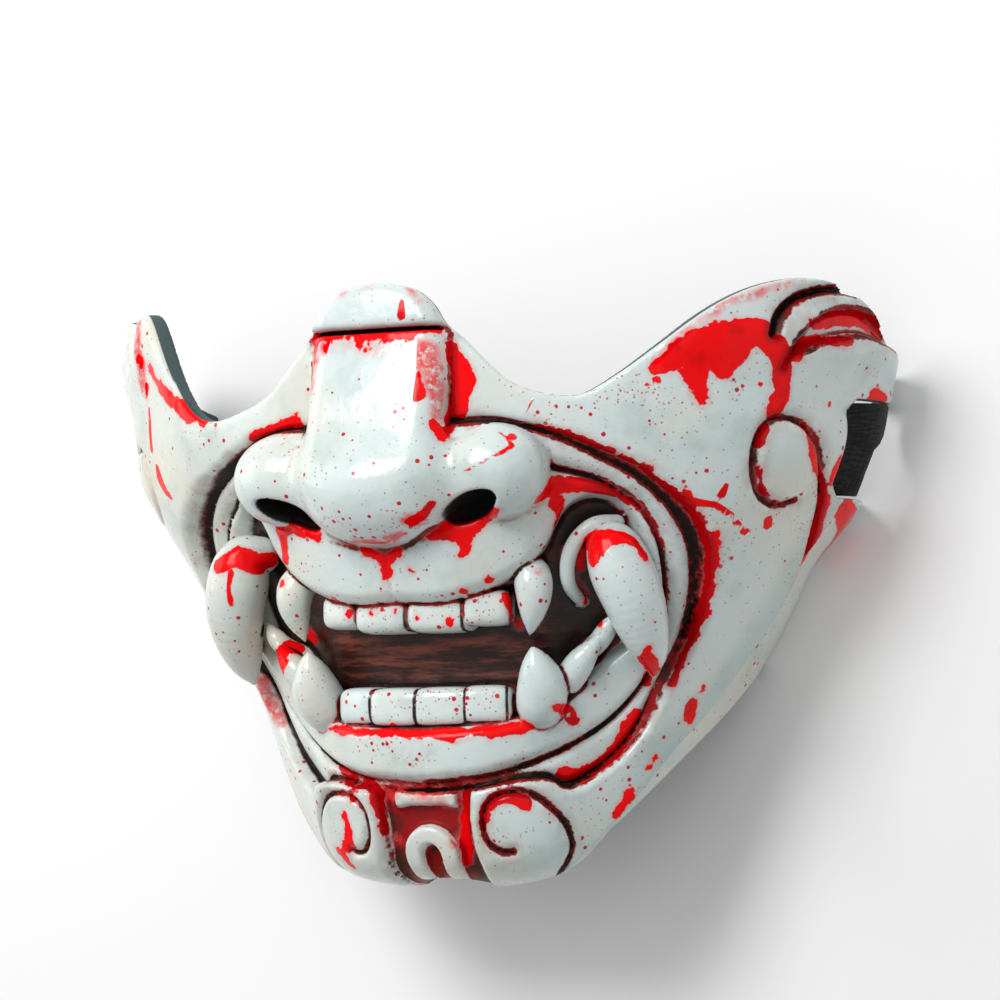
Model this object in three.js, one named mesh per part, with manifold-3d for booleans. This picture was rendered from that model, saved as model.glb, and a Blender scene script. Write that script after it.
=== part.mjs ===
import * as THREE from 'three';
import { mergeVertices } from 'three/addons/utils/BufferGeometryUtils.js';
import Module from 'manifold-3d';

// A cast resin demon half mask, lying face up on the flat rear ends of its two sides.
// x runs across the face, y runs from the chin up to the brow, z runs from the floor to the nose.
// The shape is drawn in the face's own frame (z = 0 near the cheeks' front) and set down at the end.

// Sizes, all in millimetres.
const WALL = 4;
const AXIS_Z = -60;
const REAR_DEPTH = 36;
const SECTION_POWER = 2.15;
const REAR_PLANE_Z = -72;
const ARC_RADIUS = 70;
const FACE_CENTRE_Y = 2.78;
const GAP = 0.3;

// Horizontal sections of the bare face: height, half width, z of the front.
const SECTIONS = [
  [-70, 24, -38],
  [-66, 35, -24],
  [-62, 42, -16.5],
  [-57, 47, -13.5],
  [-50, 51, -11.5],
  [-41, 54, -9.5],
  [-32, 57.5, -8],
  [-19, 64, -7],
  [-5, 72.5, -3],
  [8, 79.5, 0.5],
  [15, 84, 2],
  [22, 88.5, 3.5],
  [38, 95, 7],
  [60, 98, 8],
  [80, 98, 6],
];

// Outline of one half, as arc length from the middle and height.
const TOP_EDGE = [
  [0, 71.5], [5, 71], [10, 69.3], [14, 66], [17, 61.5], [21, 58], [27, 52], [32, 47.7], [39, 45],
  [46, 44.7], [53, 49], [60, 55], [67, 61.5], [73, 66], [79, 69], [86, 70.6], [94, 69.6], [102, 65],
  [108, 59.5], [113, 54.5],
];
const BOTTOM_EDGE = [
  [113, -22], [106, -27.5], [91, -37], [74, -47.5], [62, -55], [54, -60], [46, -63.5], [36, -65],
  [24, -66], [16, -65], [8, -64.2], [0, -64],
];
const REAR_TOP_Y = 51;
const REAR_BOTTOM_Y = -17;
const NOTCH_TOP_Y = 44;
const NOTCH_BOTTOM_Y = 22;
const NOTCH_FRONT = 99;
const NOTCH_CORNER = 3;

// Fold lines, as arc length and height.
const OUTER_FOLD = [
  [-10, 39.5], [17, 39.3], [27, 39.4], [36, 37.7], [43, 35.3], [50, 32], [58.5, 27.5], [65, 22],
  [70, 16.5], [74, 10], [76.6, 1], [77, -9], [75.5, -15], [73, -22], [70, -29], [64, -35.5],
  [55, -40.5], [47, -43], [41, -41], [32, -41], [20, -42.7], [0, -44], [-10, -44],
];
const INNER_FOLD = [
  [-10, 29.5], [25, 29.5], [38.6, 29], [49, 26.7], [55.5, 24], [61, 20], [65, 14.5], [68, 8], [70.6, -1],
  [71.8, -10], [70.8, -17], [68, -21.6], [63, -26.3], [56, -30.5], [45, -34.8], [32, -38.4], [20, -40.6],
  [0, -42], [-10, -42],
];
const MOUTH = [
  [-10, -0.6], [0, -0.5], [10, -1], [20, 0.4], [28, 3], [35, 6.8], [39.6, 11.6], [41.8, 16], [44, 19.6],
  [47.3, 22], [51.5, 23], [56.6, 21.8], [60.5, 17.8], [63, 12.3], [65, 6], [66.6, -1], [66.6, -7],
  [64, -10.5], [59, -14], [51.8, -19.6], [42.4, -24], [32.4, -26.6], [20.4, -28.3], [4, -29], [-10, -29],
];
const JAW_LINE = [
  [103, 24], [103, 16], [102, 8], [100.5, 1], [99, -6], [96.5, -14], [92.5, -22], [87, -28.5],
  [80, -35], [73, -42], [66, -48.7], [59, -55.5], [51, -63], [47, -70],
];
const CHIN_FIELD = [
  [-10, -43], [12, -43], [16.4, -43.4], [15.6, -50], [16.4, -57], [18.5, -62], [21, -70], [-10, -70],
];
const CHIN_SPIRAL = [
  [30, -57.6], [26, -57.6], [22.5, -56], [20.6, -53], [20.6, -49], [23, -45.8], [28, -44], [35, -44.4],
  [42, -48], [47, -52.5], [49, -57.5], [46, -63],
];
const EAR_SPIRAL = [
  [90, 21], [86, 19.8], [82, 21.6], [79.4, 26], [78.4, 32], [79.6, 37], [83, 39.2], [87.5, 37.4],
  [91.5, 33], [94.8, 26.5], [98, 19], [101, 11], [102, 3],
];
const UPPER_LEAF = [[80, 57.5], [81.3, 62], [85, 66], [91, 68.2], [98, 68]];
const LOWER_LEAF = [
  [82, 50], [84.5, 57], [89, 62], [95, 64.4], [101, 64], [107, 60.5], [112, 56], [106, 57], [99, 58],
  [91, 56.6], [85.5, 53.5],
];

// Heights of the carved features above the bare face.
const LIP_HEIGHT = { upperMiddle: 5.5, upperCorner: -4.5, lowerMiddle: 2, lowerCorner: -4 };
const MOUTH_FLOOR = { middle: -9, corner: -11 };
const FOLD_ROLL = 3;
const FOLD_DROP = 2.4;
const CHIN_BLOCK_HEIGHT = 3.4;
const CHIN_FIELD_HEIGHT = -2;
const CAP_HEIGHT = { edge: 1.8, middle: 4.4 };
const CAP_BOTTOM_Y = 60.8;
const CAP_HALF_WIDTH = 17;
const JAW_STEP = { drop: 2.6, lip: 0.8 };
const GROOVE = { halfWidth: 1.9, depth: 2 };
const CHIN_BAR = { halfLength: 11.8, y: -45.4, halfHeight: 1.9, raise: 2.4 };
const CHIN_ARCH = { footY: -59, halfWidth: 11.5, height: 8.2, raise: 3.2 };
const CHIN_HOLE = { halfWidth: 3.8, height: 3.2, depth: 4.5 };
const CHEEK_SWELL = { at: [74, 20], size: [12, 16], height: 1 };
const LEAF_DEPTH = 2.4;
const CREASE = { below: 0.6, depth: 2.2 };
// Soft swellings of the ear folds: arc position and height, spread each way, and height.
const EAR_SWELLINGS = [
  { at: [86.5, 29.5], size: [6.5, 8], height: 1.4 },
  { at: [72, 57], size: [13, 7], height: 1.6 },
  { at: [99, 44], size: [9, 6], height: -2.2 },
  { at: [101, 54], size: [14, 4], height: 1.6 },
  { at: [88, 60], size: [5, 3], height: 1.2 },
];
const RIGHT_DIP = { at: 54, width: 8, depth: 4.5 };
const RIGHT_CLIMB = { at: 69, width: 6, height: 3.5 };

// Nose, by its parts in the face frame.
const BRIDGE = { halfWidth: 17, halfDepth: 11, frontAtTop: 11, slope: 0.25, edge: 6, topY: 60, bottomY: 26 };
const NOSE_TIP = { centre: [0, 24.5, 8], radii: [19, 12.6, 14] };
const NOSE_WING = { centre: [26.4, 28.2, 4], radii: [12.8, 10.8, 11.2] };
const NOSTRIL = { centre: [23.4, 19.4, 9.5], radii: [7.6, 4.2, 9.5], tilt: 26, rise: 12 };
const NOSE_HOLLOW = { centre: [0, 32, 0], radii: [12.5, 20, 12] };
const NOSE_BLEND = 4;

// Teeth by arc position, height of the middle, half width and half height, half depth and raise.
const UPPER_TEETH = [
  { at: [8.4, -3.4], half: [7.6, 4.3, 6.6], raise: -3 },
  { at: [22.2, -2.2], half: [5.6, 4.2, 6.4], raise: -3.8 },
];
const LOWER_TEETH = [
  { at: [8, -24.4], half: [7.6, 4.6, 5.6], raise: -4.2 },
  { at: [22.4, -24], half: [6.2, 4.4, 5.4], raise: -4.6 },
];
const TOOTH_POWER = 3.2;

// Curved horns of the mouth: path points as arc, height and raise, with the radius at each.
const UPPER_FANG = {
  path: [[35.8, 6.6, -8.4], [36.2, 4.6, -3], [36.6, 0, -0.6], [36.2, -5, 0.2], [35.6, -10, 0.3]],
  radii: [3, 4.2, 4.4, 3.2, 0.5],
};
const LOWER_FANG = {
  path: [[38.4, -25.4, -7.6], [38.5, -25, -3.4], [39, -20.6, -1], [37.6, -15.5, 0], [36, -9.8, 0.2]],
  radii: [3, 5.2, 6.2, 4.6, 0.5],
};
const SIDE_TOOTH = {
  path: [[45.6, -22, -10], [47.4, -18.6, -4.6], [50, -14.6, -3.2], [53.8, -10, -3.4]],
  radii: [3, 3.4, 3.2, 1.2],
};
const SMALL_TOOTH = {
  path: [[54, -13, -11], [55.4, -10, -6], [56.5, -7.5, -4.8], [57.8, -4.8, -4.8]],
  radii: [2.4, 2.4, 2.2, 0.9],
};
const TUSK = {
  path: [
    [54, 12, -7.5], [55, 10.6, -3.2], [56.6, 6, -1], [59.4, -0.6, 0.9], [62.5, -7.2, 1.6],
    [65.5, -12.8, 1.8], [67.4, -17.6, 1.6],
  ],
  radii: [4.4, 6, 7.3, 7, 5.8, 3.8, 0.8],
};
const GUM_RING = {
  path: [
    [57, 16.5, -8], [51, 16, -4.4], [46.8, 12.6, -3.6], [45, 7.6, -3.6], [46, 2.4, -4.4], [51, -1, -10],
  ],
  radii: [2.2, 2.4, 2.4, 2.3, 2.1, 1.8],
};
const HORN_SIDES = 8;

// Strap ends left in the notches.
const TAB = { front: 88, thickness: 1.6, clearance: 0.8 };
const TAB_REAR = [
  [23.6, 107], [28, 105.6], [32, 105.6], [34.6, 107.6], [37.4, 111.4], [41, 113.4], [45, 113.6],
];
const RIVET = { at: [101, 31], radius: 1.4, height: 0.7 };

// Point spacing of the faceted surfaces.
const EDGE_STEP = 3.6;
const FOLD_STEP = 3.2;
const FILL_STEP = { front: 3.8, side: 5.8 };
const INNER_STEP = 8;
const FOLD_SHOULDER = 1.7;

// Small maths helpers.
const rise = THREE.MathUtils.smoothstep;
const mix = THREE.MathUtils.lerp;
const edgeRoll = (distance, width, drop) => drop * Math.max(0, 1 - distance / width) ** 2;

function swelling(w, y, { at, size, height }) {
  return height * Math.exp(-(((w - at[0]) / size[0]) ** 2) - ((y - at[1]) / size[1]) ** 2);
}

function smoothPoints(points, perSpan) {
  const spline = new THREE.SplineCurve(points.map(([w, y]) => new THREE.Vector2(w, y)));
  return spline.getPoints((points.length - 1) * perSpan).map((p) => [p.x, p.y]);
}

function distanceToSegment(w, y, a, b) {
  const run = [b[0] - a[0], b[1] - a[1]];
  const lengthSquared = run[0] ** 2 + run[1] ** 2 || 1;
  const t = THREE.MathUtils.clamp(((w - a[0]) * run[0] + (y - a[1]) * run[1]) / lengthSquared, 0, 1);
  return Math.hypot(w - a[0] - t * run[0], y - a[1] - t * run[1]);
}

function distanceToLine(w, y, line) {
  let nearest = Infinity;
  for (let i = 1; i < line.length; i += 1) {
    nearest = Math.min(nearest, distanceToSegment(w, y, line[i - 1], line[i]));
  }
  return nearest;
}

function isInside(w, y, loop) {
  let inside = false;
  for (let i = 0, j = loop.length - 1; i < loop.length; j = i, i += 1) {
    const crosses = (loop[i][1] > y) !== (loop[j][1] > y);
    const slope = ((loop[j][0] - loop[i][0]) * (y - loop[i][1])) / (loop[j][1] - loop[i][1]);
    if (crosses && w < slope + loop[i][0]) {
      inside = !inside;
    }
  }
  return inside;
}

// Depth inside a closed loop, negative outside it.
function depthIn(w, y, loop) {
  const distance = distanceToLine(w, y, [...loop, loop[0]]);
  return isInside(w, y, loop) ? distance : -distance;
}

const LINES = {
  outerFold: smoothPoints(OUTER_FOLD, 3),
  innerFold: smoothPoints(INNER_FOLD, 3),
  mouth: smoothPoints(MOUTH, 3),
  jaw: smoothPoints(JAW_LINE, 3),
  chinField: CHIN_FIELD,
  chinSpiral: smoothPoints(CHIN_SPIRAL, 4),
  earSpiral: smoothPoints(EAR_SPIRAL, 4),
  upperLeaf: smoothPoints(UPPER_LEAF, 4),
  lowerLeaf: smoothPoints(LOWER_LEAF, 3),
};
const JAW_BAND = [...LINES.jaw, [140, -70], [140, 24]];

// Radius of the bare face from the axis, at an angle and a height.
function sectionAt(y) {
  const last = SECTIONS.length - 1;
  const clamped = THREE.MathUtils.clamp(y, SECTIONS[0][0], SECTIONS[last][0]);
  let i = 0;
  while (i < last - 1 && SECTIONS[i + 1][0] < clamped) {
    i += 1;
  }
  const before = SECTIONS[Math.max(i - 1, 0)];
  const from = SECTIONS[i];
  const to = SECTIONS[i + 1];
  const after = SECTIONS[Math.min(i + 2, last)];
  const t = (clamped - from[0]) / (to[0] - from[0]);
  return [1, 2].map((column) => {
    const slopeFrom = ((to[column] - before[column]) / (to[0] - before[0])) * (to[0] - from[0]);
    const slopeTo = ((after[column] - from[column]) / (after[0] - from[0])) * (to[0] - from[0]);
    const a = (2 * t ** 3 - 3 * t ** 2 + 1) * from[column] + (t ** 3 - 2 * t ** 2 + t) * slopeFrom;
    return a + (-2 * t ** 3 + 3 * t ** 2) * to[column] + (t ** 3 - t ** 2) * slopeTo;
  });
}

function bareRadius(w, y) {
  const [halfWidth, frontZ] = sectionAt(y);
  const angle = w / ARC_RADIUS;
  const depth = Math.cos(angle) > 0 ? frontZ - AXIS_Z : REAR_DEPTH;
  const across = Math.abs(Math.sin(angle) / halfWidth) ** SECTION_POWER;
  const along = Math.abs(Math.cos(angle) / depth) ** SECTION_POWER;
  return (across + along) ** (-1 / SECTION_POWER);
}

function placeAt(w, y, radius) {
  const angle = w / ARC_RADIUS;
  return new THREE.Vector3(radius * Math.sin(angle), y, AXIS_Z + radius * Math.cos(angle));
}

// Carving of the face, as a height above the bare face for one half (w is zero or more).
function lipLevel(w, y) {
  const upper = mix(LIP_HEIGHT.upperMiddle, LIP_HEIGHT.upperCorner, rise(w, 12, 58));
  const lower = mix(LIP_HEIGHT.lowerMiddle, LIP_HEIGHT.lowerCorner, rise(w, 12, 60));
  return mix(lower, upper, rise(y, -22, -4));
}

function mouthFloor(w) {
  return mix(MOUTH_FLOOR.middle, MOUTH_FLOOR.corner, rise(w, 35, 55));
}

function foldAndLips(w, y, outside) {
  const outer = depthIn(w, y, LINES.outerFold);
  if (outer < -8) {
    return outside;
  }
  const inner = depthIn(w, y, LINES.innerFold);
  const mouth = depthIn(w, y, LINES.mouth);
  const level = lipLevel(w, y);
  const cheek = outside - edgeRoll(-outer, 2.2, 1.5);
  const band = level - edgeRoll(outer, FOLD_ROLL, FOLD_DROP) - edgeRoll(-inner, FOLD_ROLL, FOLD_DROP);
  const rolled = edgeRoll(inner, FOLD_ROLL, FOLD_DROP) + edgeRoll(-mouth, FOLD_ROLL, FOLD_DROP);
  const lip = level + 0.4 - rolled;
  let height = mix(cheek, band, rise(outer, -0.6, 0.6));
  height = mix(height, lip, rise(inner, -0.5, 0.5));
  return mix(height, mouthFloor(w), rise(mouth, -0.3, 1.3));
}

function depthInArch(w, y, { halfWidth, height }) {
  const aboveFoot = Math.max(y - CHIN_ARCH.footY, 0);
  return halfWidth * (1 - Math.hypot(w / halfWidth, aboveFoot / height));
}

function grooveAlong(w, y, line) {
  return edgeRoll(distanceToLine(w, y, line), GROOVE.halfWidth, GROOVE.depth);
}

function chinCentre(w, y, outside) {
  const depth = depthIn(w, y, LINES.chinField);
  let height = mix(outside - edgeRoll(-depth, 3, 2), CHIN_FIELD_HEIGHT, rise(depth, -0.6, 0.9));
  if (depth < 0) {
    return height;
  }
  const barHalf = CHIN_BAR.halfHeight + 0.5 * rise(w, 6, 10);
  const bar = Math.min(CHIN_BAR.halfLength - w, barHalf - Math.abs(y - CHIN_BAR.y));
  height += CHIN_BAR.raise * rise(bar, -0.3, 1.2);
  height += CHIN_ARCH.raise * rise(depthInArch(w, y, CHIN_ARCH), -0.3, 2.2);
  return height - CHIN_HOLE.depth * rise(depthInArch(w, y, CHIN_HOLE), -0.6, 1);
}

function earFolds(w, y) {
  const soft = EAR_SWELLINGS.reduce((sum, item) => sum + swelling(w, y, item), 0);
  const leaf = LEAF_DEPTH * rise(depthIn(w, y, LINES.lowerLeaf), -0.5, 1.4);
  return soft - leaf - grooveAlong(w, y, LINES.upperLeaf) - grooveAlong(w, y, LINES.earSpiral);
}

function webHeight(w, y) {
  return CAP_HEIGHT.edge * (1 - rise(w, CAP_HALF_WIDTH, 24)) * rise(y, 57.5, 61);
}

function noseCap(w, y) {
  const across = CAP_HALF_WIDTH * (1 - Math.hypot(w / CAP_HALF_WIDTH, (y - CAP_BOTTOM_Y) / 12));
  const dome = (CAP_HEIGHT.middle - CAP_HEIGHT.edge) * rise(across, -2, 5);
  const fromCrease = Math.abs(y - CAP_BOTTOM_Y + CREASE.below);
  const crease = CREASE.depth * (1 - rise(fromCrease, 0.2, 1.3)) * (1 - rise(w, 16, 19));
  return webHeight(w, y) + dome * rise(y - CAP_BOTTOM_Y, -0.4, 1.2) - crease;
}

function jawFade(y) {
  return 1 - rise(y, 4, 20);
}

function reliefAt(w, y) {
  const chinBlock = CHIN_BLOCK_HEIGHT * (1 - rise(w, 34, 62)) * rise(-y, 32, 43);
  let height = chinBlock + noseCap(w, y) + swelling(w, y, CHEEK_SWELL);
  if (w > 60 && y > 0) {
    height += earFolds(w, y);
  }
  const beyondJaw = depthIn(w, y, JAW_BAND);
  height += jawFade(y) * JAW_STEP.lip * Math.exp(-((beyondJaw / 4) ** 2));
  height -= jawFade(y) * (JAW_STEP.drop + JAW_STEP.lip) * rise(beyondJaw, -0.4, 1.2);
  height = foldAndLips(w, y, height);
  if (y < -40) {
    height = chinCentre(w, y, height);
    height -= grooveAlong(w, y, LINES.chinSpiral);
  }
  return height;
}

// Signed distances for the nose.
function ellipsoidDistance(point, { centre, radii }) {
  const offset = point.map((value, i) => value - centre[i]);
  const scaled = Math.hypot(...offset.map((value, i) => value / radii[i]));
  const slope = Math.hypot(...offset.map((value, i) => value / radii[i] ** 2));
  return slope > 0 ? (scaled * (scaled - 1)) / slope : -Math.min(...radii);
}

function smoothUnion(a, b, blend) {
  const overlap = Math.max(blend - Math.abs(a - b), 0) / blend;
  return Math.min(a, b) - (overlap ** 2 * blend) / 4;
}

function bridgeDistance([x, y, z]) {
  const front = BRIDGE.frontAtTop + (BRIDGE.topY - y) * BRIDGE.slope;
  const side = Math.abs(x) - BRIDGE.halfWidth + BRIDGE.edge;
  const depth = Math.abs(z - front + BRIDGE.halfDepth) - BRIDGE.halfDepth + BRIDGE.edge;
  const corner = Math.hypot(Math.max(side, 0), Math.max(depth, 0));
  const rounded = corner + Math.min(Math.max(side, depth), 0) - BRIDGE.edge;
  return Math.max(rounded, y - BRIDGE.topY, BRIDGE.bottomY - y);
}

function noseDistance(point) {
  const [x, y, z] = point;
  const wing = ellipsoidDistance([Math.abs(x), y, z], NOSE_WING);
  const tip = ellipsoidDistance(point, NOSE_TIP);
  return smoothUnion(smoothUnion(tip, wing, NOSE_BLEND), bridgeDistance(point), NOSE_BLEND);
}

// Walks in along a ray from well outside to the surface of the face with its nose.
function outerRadius(w, y) {
  const shell = bareRadius(w, y) + reliefAt(w, y);
  if (w > 46 || y < 6 || y > 64) {
    return shell;
  }
  let radius = shell + 35;
  for (let step = 0; step < 90; step += 1) {
    const nose = noseDistance(placeAt(w, y, radius).toArray());
    const distance = smoothUnion(radius - shell, nose, 2);
    if (distance < 0.005) {
      break;
    }
    radius -= distance * 0.7;
  }
  return radius;
}

// The back of the wall: plain, deeper behind the mouth, hollow behind the nose.
function innerRadius(w, y) {
  const behindMouth = rise(depthIn(w, y, LINES.mouth), -7, 0) * (-mouthFloor(w));
  const behindFold = 4.6 * rise(depthIn(w, y, LINES.outerFold), -4, 3) * rise(w, 30, 56);
  const behindChin = 1.5 * rise(-y, 40, 50) * (1 - rise(w, 16, 30));
  const behindJaw = JAW_STEP.drop * jawFade(y) * rise(depthIn(w, y, JAW_BAND), -4, 4);
  const deepest = Math.max(behindMouth, behindFold, behindChin, behindJaw);
  const plain = bareRadius(w, y) + webHeight(w, y) - WALL - deepest;
  let radius = plain + 24;
  for (let step = 0; step < 90 && radius > plain; step += 1) {
    const hollow = ellipsoidDistance(placeAt(w, y, radius).toArray(), NOSE_HOLLOW);
    if (hollow < 0.005) {
      break;
    }
    radius -= Math.max(hollow * 0.7, 0.01);
  }
  return Math.max(radius, plain);
}

// Arc position where the outer surface reaches the rear plane at a height.
function rearArc(y) {
  let low = 95;
  let high = 130;
  for (let step = 0; step < 40; step += 1) {
    const middle = (low + high) / 2;
    const z = placeAt(middle, y, bareRadius(middle, y) + reliefAt(middle, y)).z;
    if (z > REAR_PLANE_Z) {
      low = middle;
    } else {
      high = middle;
    }
  }
  return low;
}

// Outline of one half as points with a mark on those of the rear plane.
function resample(points, step) {
  const lengths = [0];
  for (let i = 1; i < points.length; i += 1) {
    const [from, to] = [points[i - 1], points[i]];
    lengths.push(lengths[i - 1] + Math.hypot(to[0] - from[0], to[1] - from[1]));
  }
  const total = lengths[lengths.length - 1];
  const count = Math.max(1, Math.round(total / step));
  const result = [];
  let i = 1;
  for (let k = 0; k <= count; k += 1) {
    const wanted = (total * k) / count;
    while (i < points.length - 1 && lengths[i] < wanted) {
      i += 1;
    }
    const t = (wanted - lengths[i - 1]) / (lengths[i] - lengths[i - 1] || 1);
    result.push([mix(points[i - 1][0], points[i][0], t), mix(points[i - 1][1], points[i][1], t)]);
  }
  return result;
}

function rearLine(fromY, toY) {
  const steps = Math.max(2, Math.round(Math.abs(toY - fromY) / EDGE_STEP));
  return Array.from({ length: steps + 1 }, (_, i) => {
    const y = mix(fromY, toY, i / steps);
    return [rearArc(y), y];
  });
}

function notchLine() {
  const front = NOTCH_FRONT;
  const cut = NOTCH_CORNER;
  return resample(
    [
      [rearArc(NOTCH_TOP_Y), NOTCH_TOP_Y],
      [front + cut, NOTCH_TOP_Y],
      [front, NOTCH_TOP_Y - cut],
      [front, NOTCH_BOTTOM_Y + cut],
      [front + cut, NOTCH_BOTTOM_Y],
      [rearArc(NOTCH_BOTTOM_Y), NOTCH_BOTTOM_Y],
    ],
    EDGE_STEP,
  );
}

function halfOutline() {
  const top = resample([...smoothPoints(TOP_EDGE, 3), [rearArc(REAR_TOP_Y), REAR_TOP_Y]], EDGE_STEP);
  const bottomStart = [rearArc(REAR_BOTTOM_Y), REAR_BOTTOM_Y];
  const bottom = resample([bottomStart, ...smoothPoints(BOTTOM_EDGE, 3)], EDGE_STEP);
  const upperRail = rearLine(REAR_TOP_Y, NOTCH_TOP_Y);
  const lowerRail = rearLine(NOTCH_BOTTOM_Y, REAR_BOTTOM_Y);
  const axis = resample([BOTTOM_EDGE[BOTTOM_EDGE.length - 1], TOP_EDGE[0]], EDGE_STEP).slice(1, -1);
  const rim = [
    ...top.map((p) => ({ p, rear: false })),
    ...upperRail.slice(1).map((p) => ({ p, rear: true })),
    ...notchLine().slice(1).map((p) => ({ p, rear: false })),
    ...lowerRail.slice(1).map((p) => ({ p, rear: true })),
    ...bottom.slice(1).map((p) => ({ p, rear: false })),
  ];
  rim[top.length - 1].rear = true;
  rim[rim.findIndex(({ p }) => p[1] === NOTCH_BOTTOM_Y && p[0] > 110)].rear = true;
  return { rim, axis: axis.map((p) => ({ p, rear: false })) };
}

// Points along the fold lines and between them.
function shoulderLine(line, offset) {
  return line.map((point, i) => {
    const before = line[Math.max(i - 1, 0)];
    const after = line[Math.min(i + 1, line.length - 1)];
    const run = Math.hypot(after[0] - before[0], after[1] - before[1]) || 1;
    const normal = [(after[1] - before[1]) / run, -(after[0] - before[0]) / run];
    return [point[0] + offset * normal[0], point[1] + offset * normal[1]];
  });
}

function featureLines() {
  const grooves = [LINES.chinSpiral, LINES.earSpiral, LINES.upperLeaf, LINES.outerFold, LINES.innerFold];
  const steps = [LINES.mouth, LINES.lowerLeaf, LINES.jaw, LINES.chinField];
  const barLine = [[0, -43.4], [12, -43.2], [12, -47.6], [0, -47.4]];
  const archLine = [[0, -50.8], [6, -52], [10, -55], [11.5, -59], [11.5, -64]];
  const holeLine = [[0, -55.8], [3, -57], [4, -60], [4, -64]];
  const creaseLine = [[0, CAP_BOTTOM_Y], [17, CAP_BOTTOM_Y]];
  const noseLine = smoothPoints(
    [[18.2, 59], [18.2, 50], [18.6, 42], [22, 39], [29, 38.6], [36, 35], [39.5, 28.6], [37.5, 22],
      [30, 16.5], [22, 14.6], [14, 13.4], [7, 12], [0, 11.6]],
    3,
  );
  const edges = [noseLine, barLine, archLine, holeLine];
  const bridgeEdges = [15, 11.6].map((w) => [[w, 59], [w, 36]]);
  return [
    ...steps.flatMap((line) => [shoulderLine(line, -0.7), shoulderLine(line, 0.9)]),
    ...grooves.flatMap((line) => [0, FOLD_SHOULDER, -FOLD_SHOULDER].map((side) => shoulderLine(line, side))),
    ...bridgeEdges,
    ...edges.flatMap((line) => [-0.8, 0.8].map((side) => shoulderLine(line, side))),
    creaseLine,
    shoulderLine(creaseLine, 1.6),
    shoulderLine(creaseLine, -1.2),
  ];
}

function addIfClear(points, candidate, clearance) {
  const clear = points.every(({ p }) => Math.hypot(p[0] - candidate[0], p[1] - candidate[1]) > clearance);
  if (clear) {
    points.push({ p: candidate, rear: false });
  }
}

function insideWithMargin(w, y, loop, margin) {
  return w > margin && depthIn(w, y, loop) > margin;
}

function fillPoints(points, loop, stepAt, margin) {
  for (let row = 0, y = -68; y < 74; y += 1.7, row += 1) {
    for (let w = (row % 2) * 0.9 + 1; w < 128; w += 1.8) {
      const step = stepAt(w, y);
      if (insideWithMargin(w, y, loop, margin(step))) {
        addIfClear(points, [w, y], step);
      }
    }
  }
}

// Delaunay triangles of the points, kept where their middles lie inside the outline.
function circumcircle(a, b, c) {
  const d = 2 * (a[0] * (b[1] - c[1]) + b[0] * (c[1] - a[1]) + c[0] * (a[1] - b[1]));
  const square = [a, b, c].map((p) => p[0] ** 2 + p[1] ** 2);
  const x = (square[0] * (b[1] - c[1]) + square[1] * (c[1] - a[1]) + square[2] * (a[1] - b[1])) / d;
  const y = (square[0] * (c[0] - b[0]) + square[1] * (a[0] - c[0]) + square[2] * (b[0] - a[0])) / d;
  return { x, y, r2: (a[0] - x) ** 2 + (a[1] - y) ** 2 };
}

function delaunay(points) {
  const all = [...points, [-2000, -1500], [2000, -1500], [0, 3000]];
  const n = points.length;
  const make = (i, j, k) => ({ ids: [i, j, k], circle: circumcircle(all[i], all[j], all[k]) });
  let triangles = [make(n, n + 1, n + 2)];
  points.forEach(([w, y], id) => {
    const edges = new Map();
    triangles = triangles.filter(({ ids, circle }) => {
      if ((w - circle.x) ** 2 + (y - circle.y) ** 2 > circle.r2) {
        return true;
      }
      ids.forEach((from, i) => {
        const to = ids[(i + 1) % 3];
        const key = Math.min(from, to) * 100000 + Math.max(from, to);
        edges.set(key, edges.has(key) ? null : [from, to]);
      });
      return false;
    });
    [...edges.values()].filter(Boolean).forEach(([from, to]) => triangles.push(make(from, to, id)));
  });
  return triangles.map(({ ids }) => ids).filter((ids) => ids.every((i) => i < n));
}

function sheetTriangles(points, loop) {
  const flat = points.map(({ p }) => p);
  return delaunay(flat).filter((ids) => {
    const w = (flat[ids[0]][0] + flat[ids[1]][0] + flat[ids[2]][0]) / 3;
    const y = (flat[ids[0]][1] + flat[ids[1]][1] + flat[ids[2]][1]) / 3;
    return isInside(w, y, loop);
  });
}

function meshGeometry(points, indices) {
  const geometry = new THREE.BufferGeometry();
  const values = points.flatMap((point) => point.toArray());
  geometry.setAttribute('position', new THREE.Float32BufferAttribute(values, 3));
  geometry.setIndex(indices);
  return geometry;
}

// Turns a half sheet into vertices and triangles for both halves, facing out.
function facingOut(ids, points) {
  const [a, b, c] = ids.map((i) => points[i].p);
  const area = (b[0] - a[0]) * (c[1] - a[1]) - (c[0] - a[0]) * (b[1] - a[1]);
  return area > 0 ? ids : [ids[0], ids[2], ids[1]];
}

function liftSheet(points, radiusAt) {
  return points.map(({ p, rear }) => {
    const [w, y] = p;
    const point = placeAt(w, y, radiusAt(w, y));
    if (rear) {
      point.z = REAR_PLANE_Z;
    }
    return point;
  });
}

// The wearer's right rim dips lower and then climbs more steeply than the left one.
function rightRimShift([w, y]) {
  const dip = RIGHT_DIP.depth * Math.exp(-(((w - RIGHT_DIP.at) / RIGHT_DIP.width) ** 2));
  const climb = RIGHT_CLIMB.height * Math.exp(-(((w - RIGHT_CLIMB.at) / RIGHT_CLIMB.width) ** 2));
  return (climb - dip) * rise(y, 26, 48);
}

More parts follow.
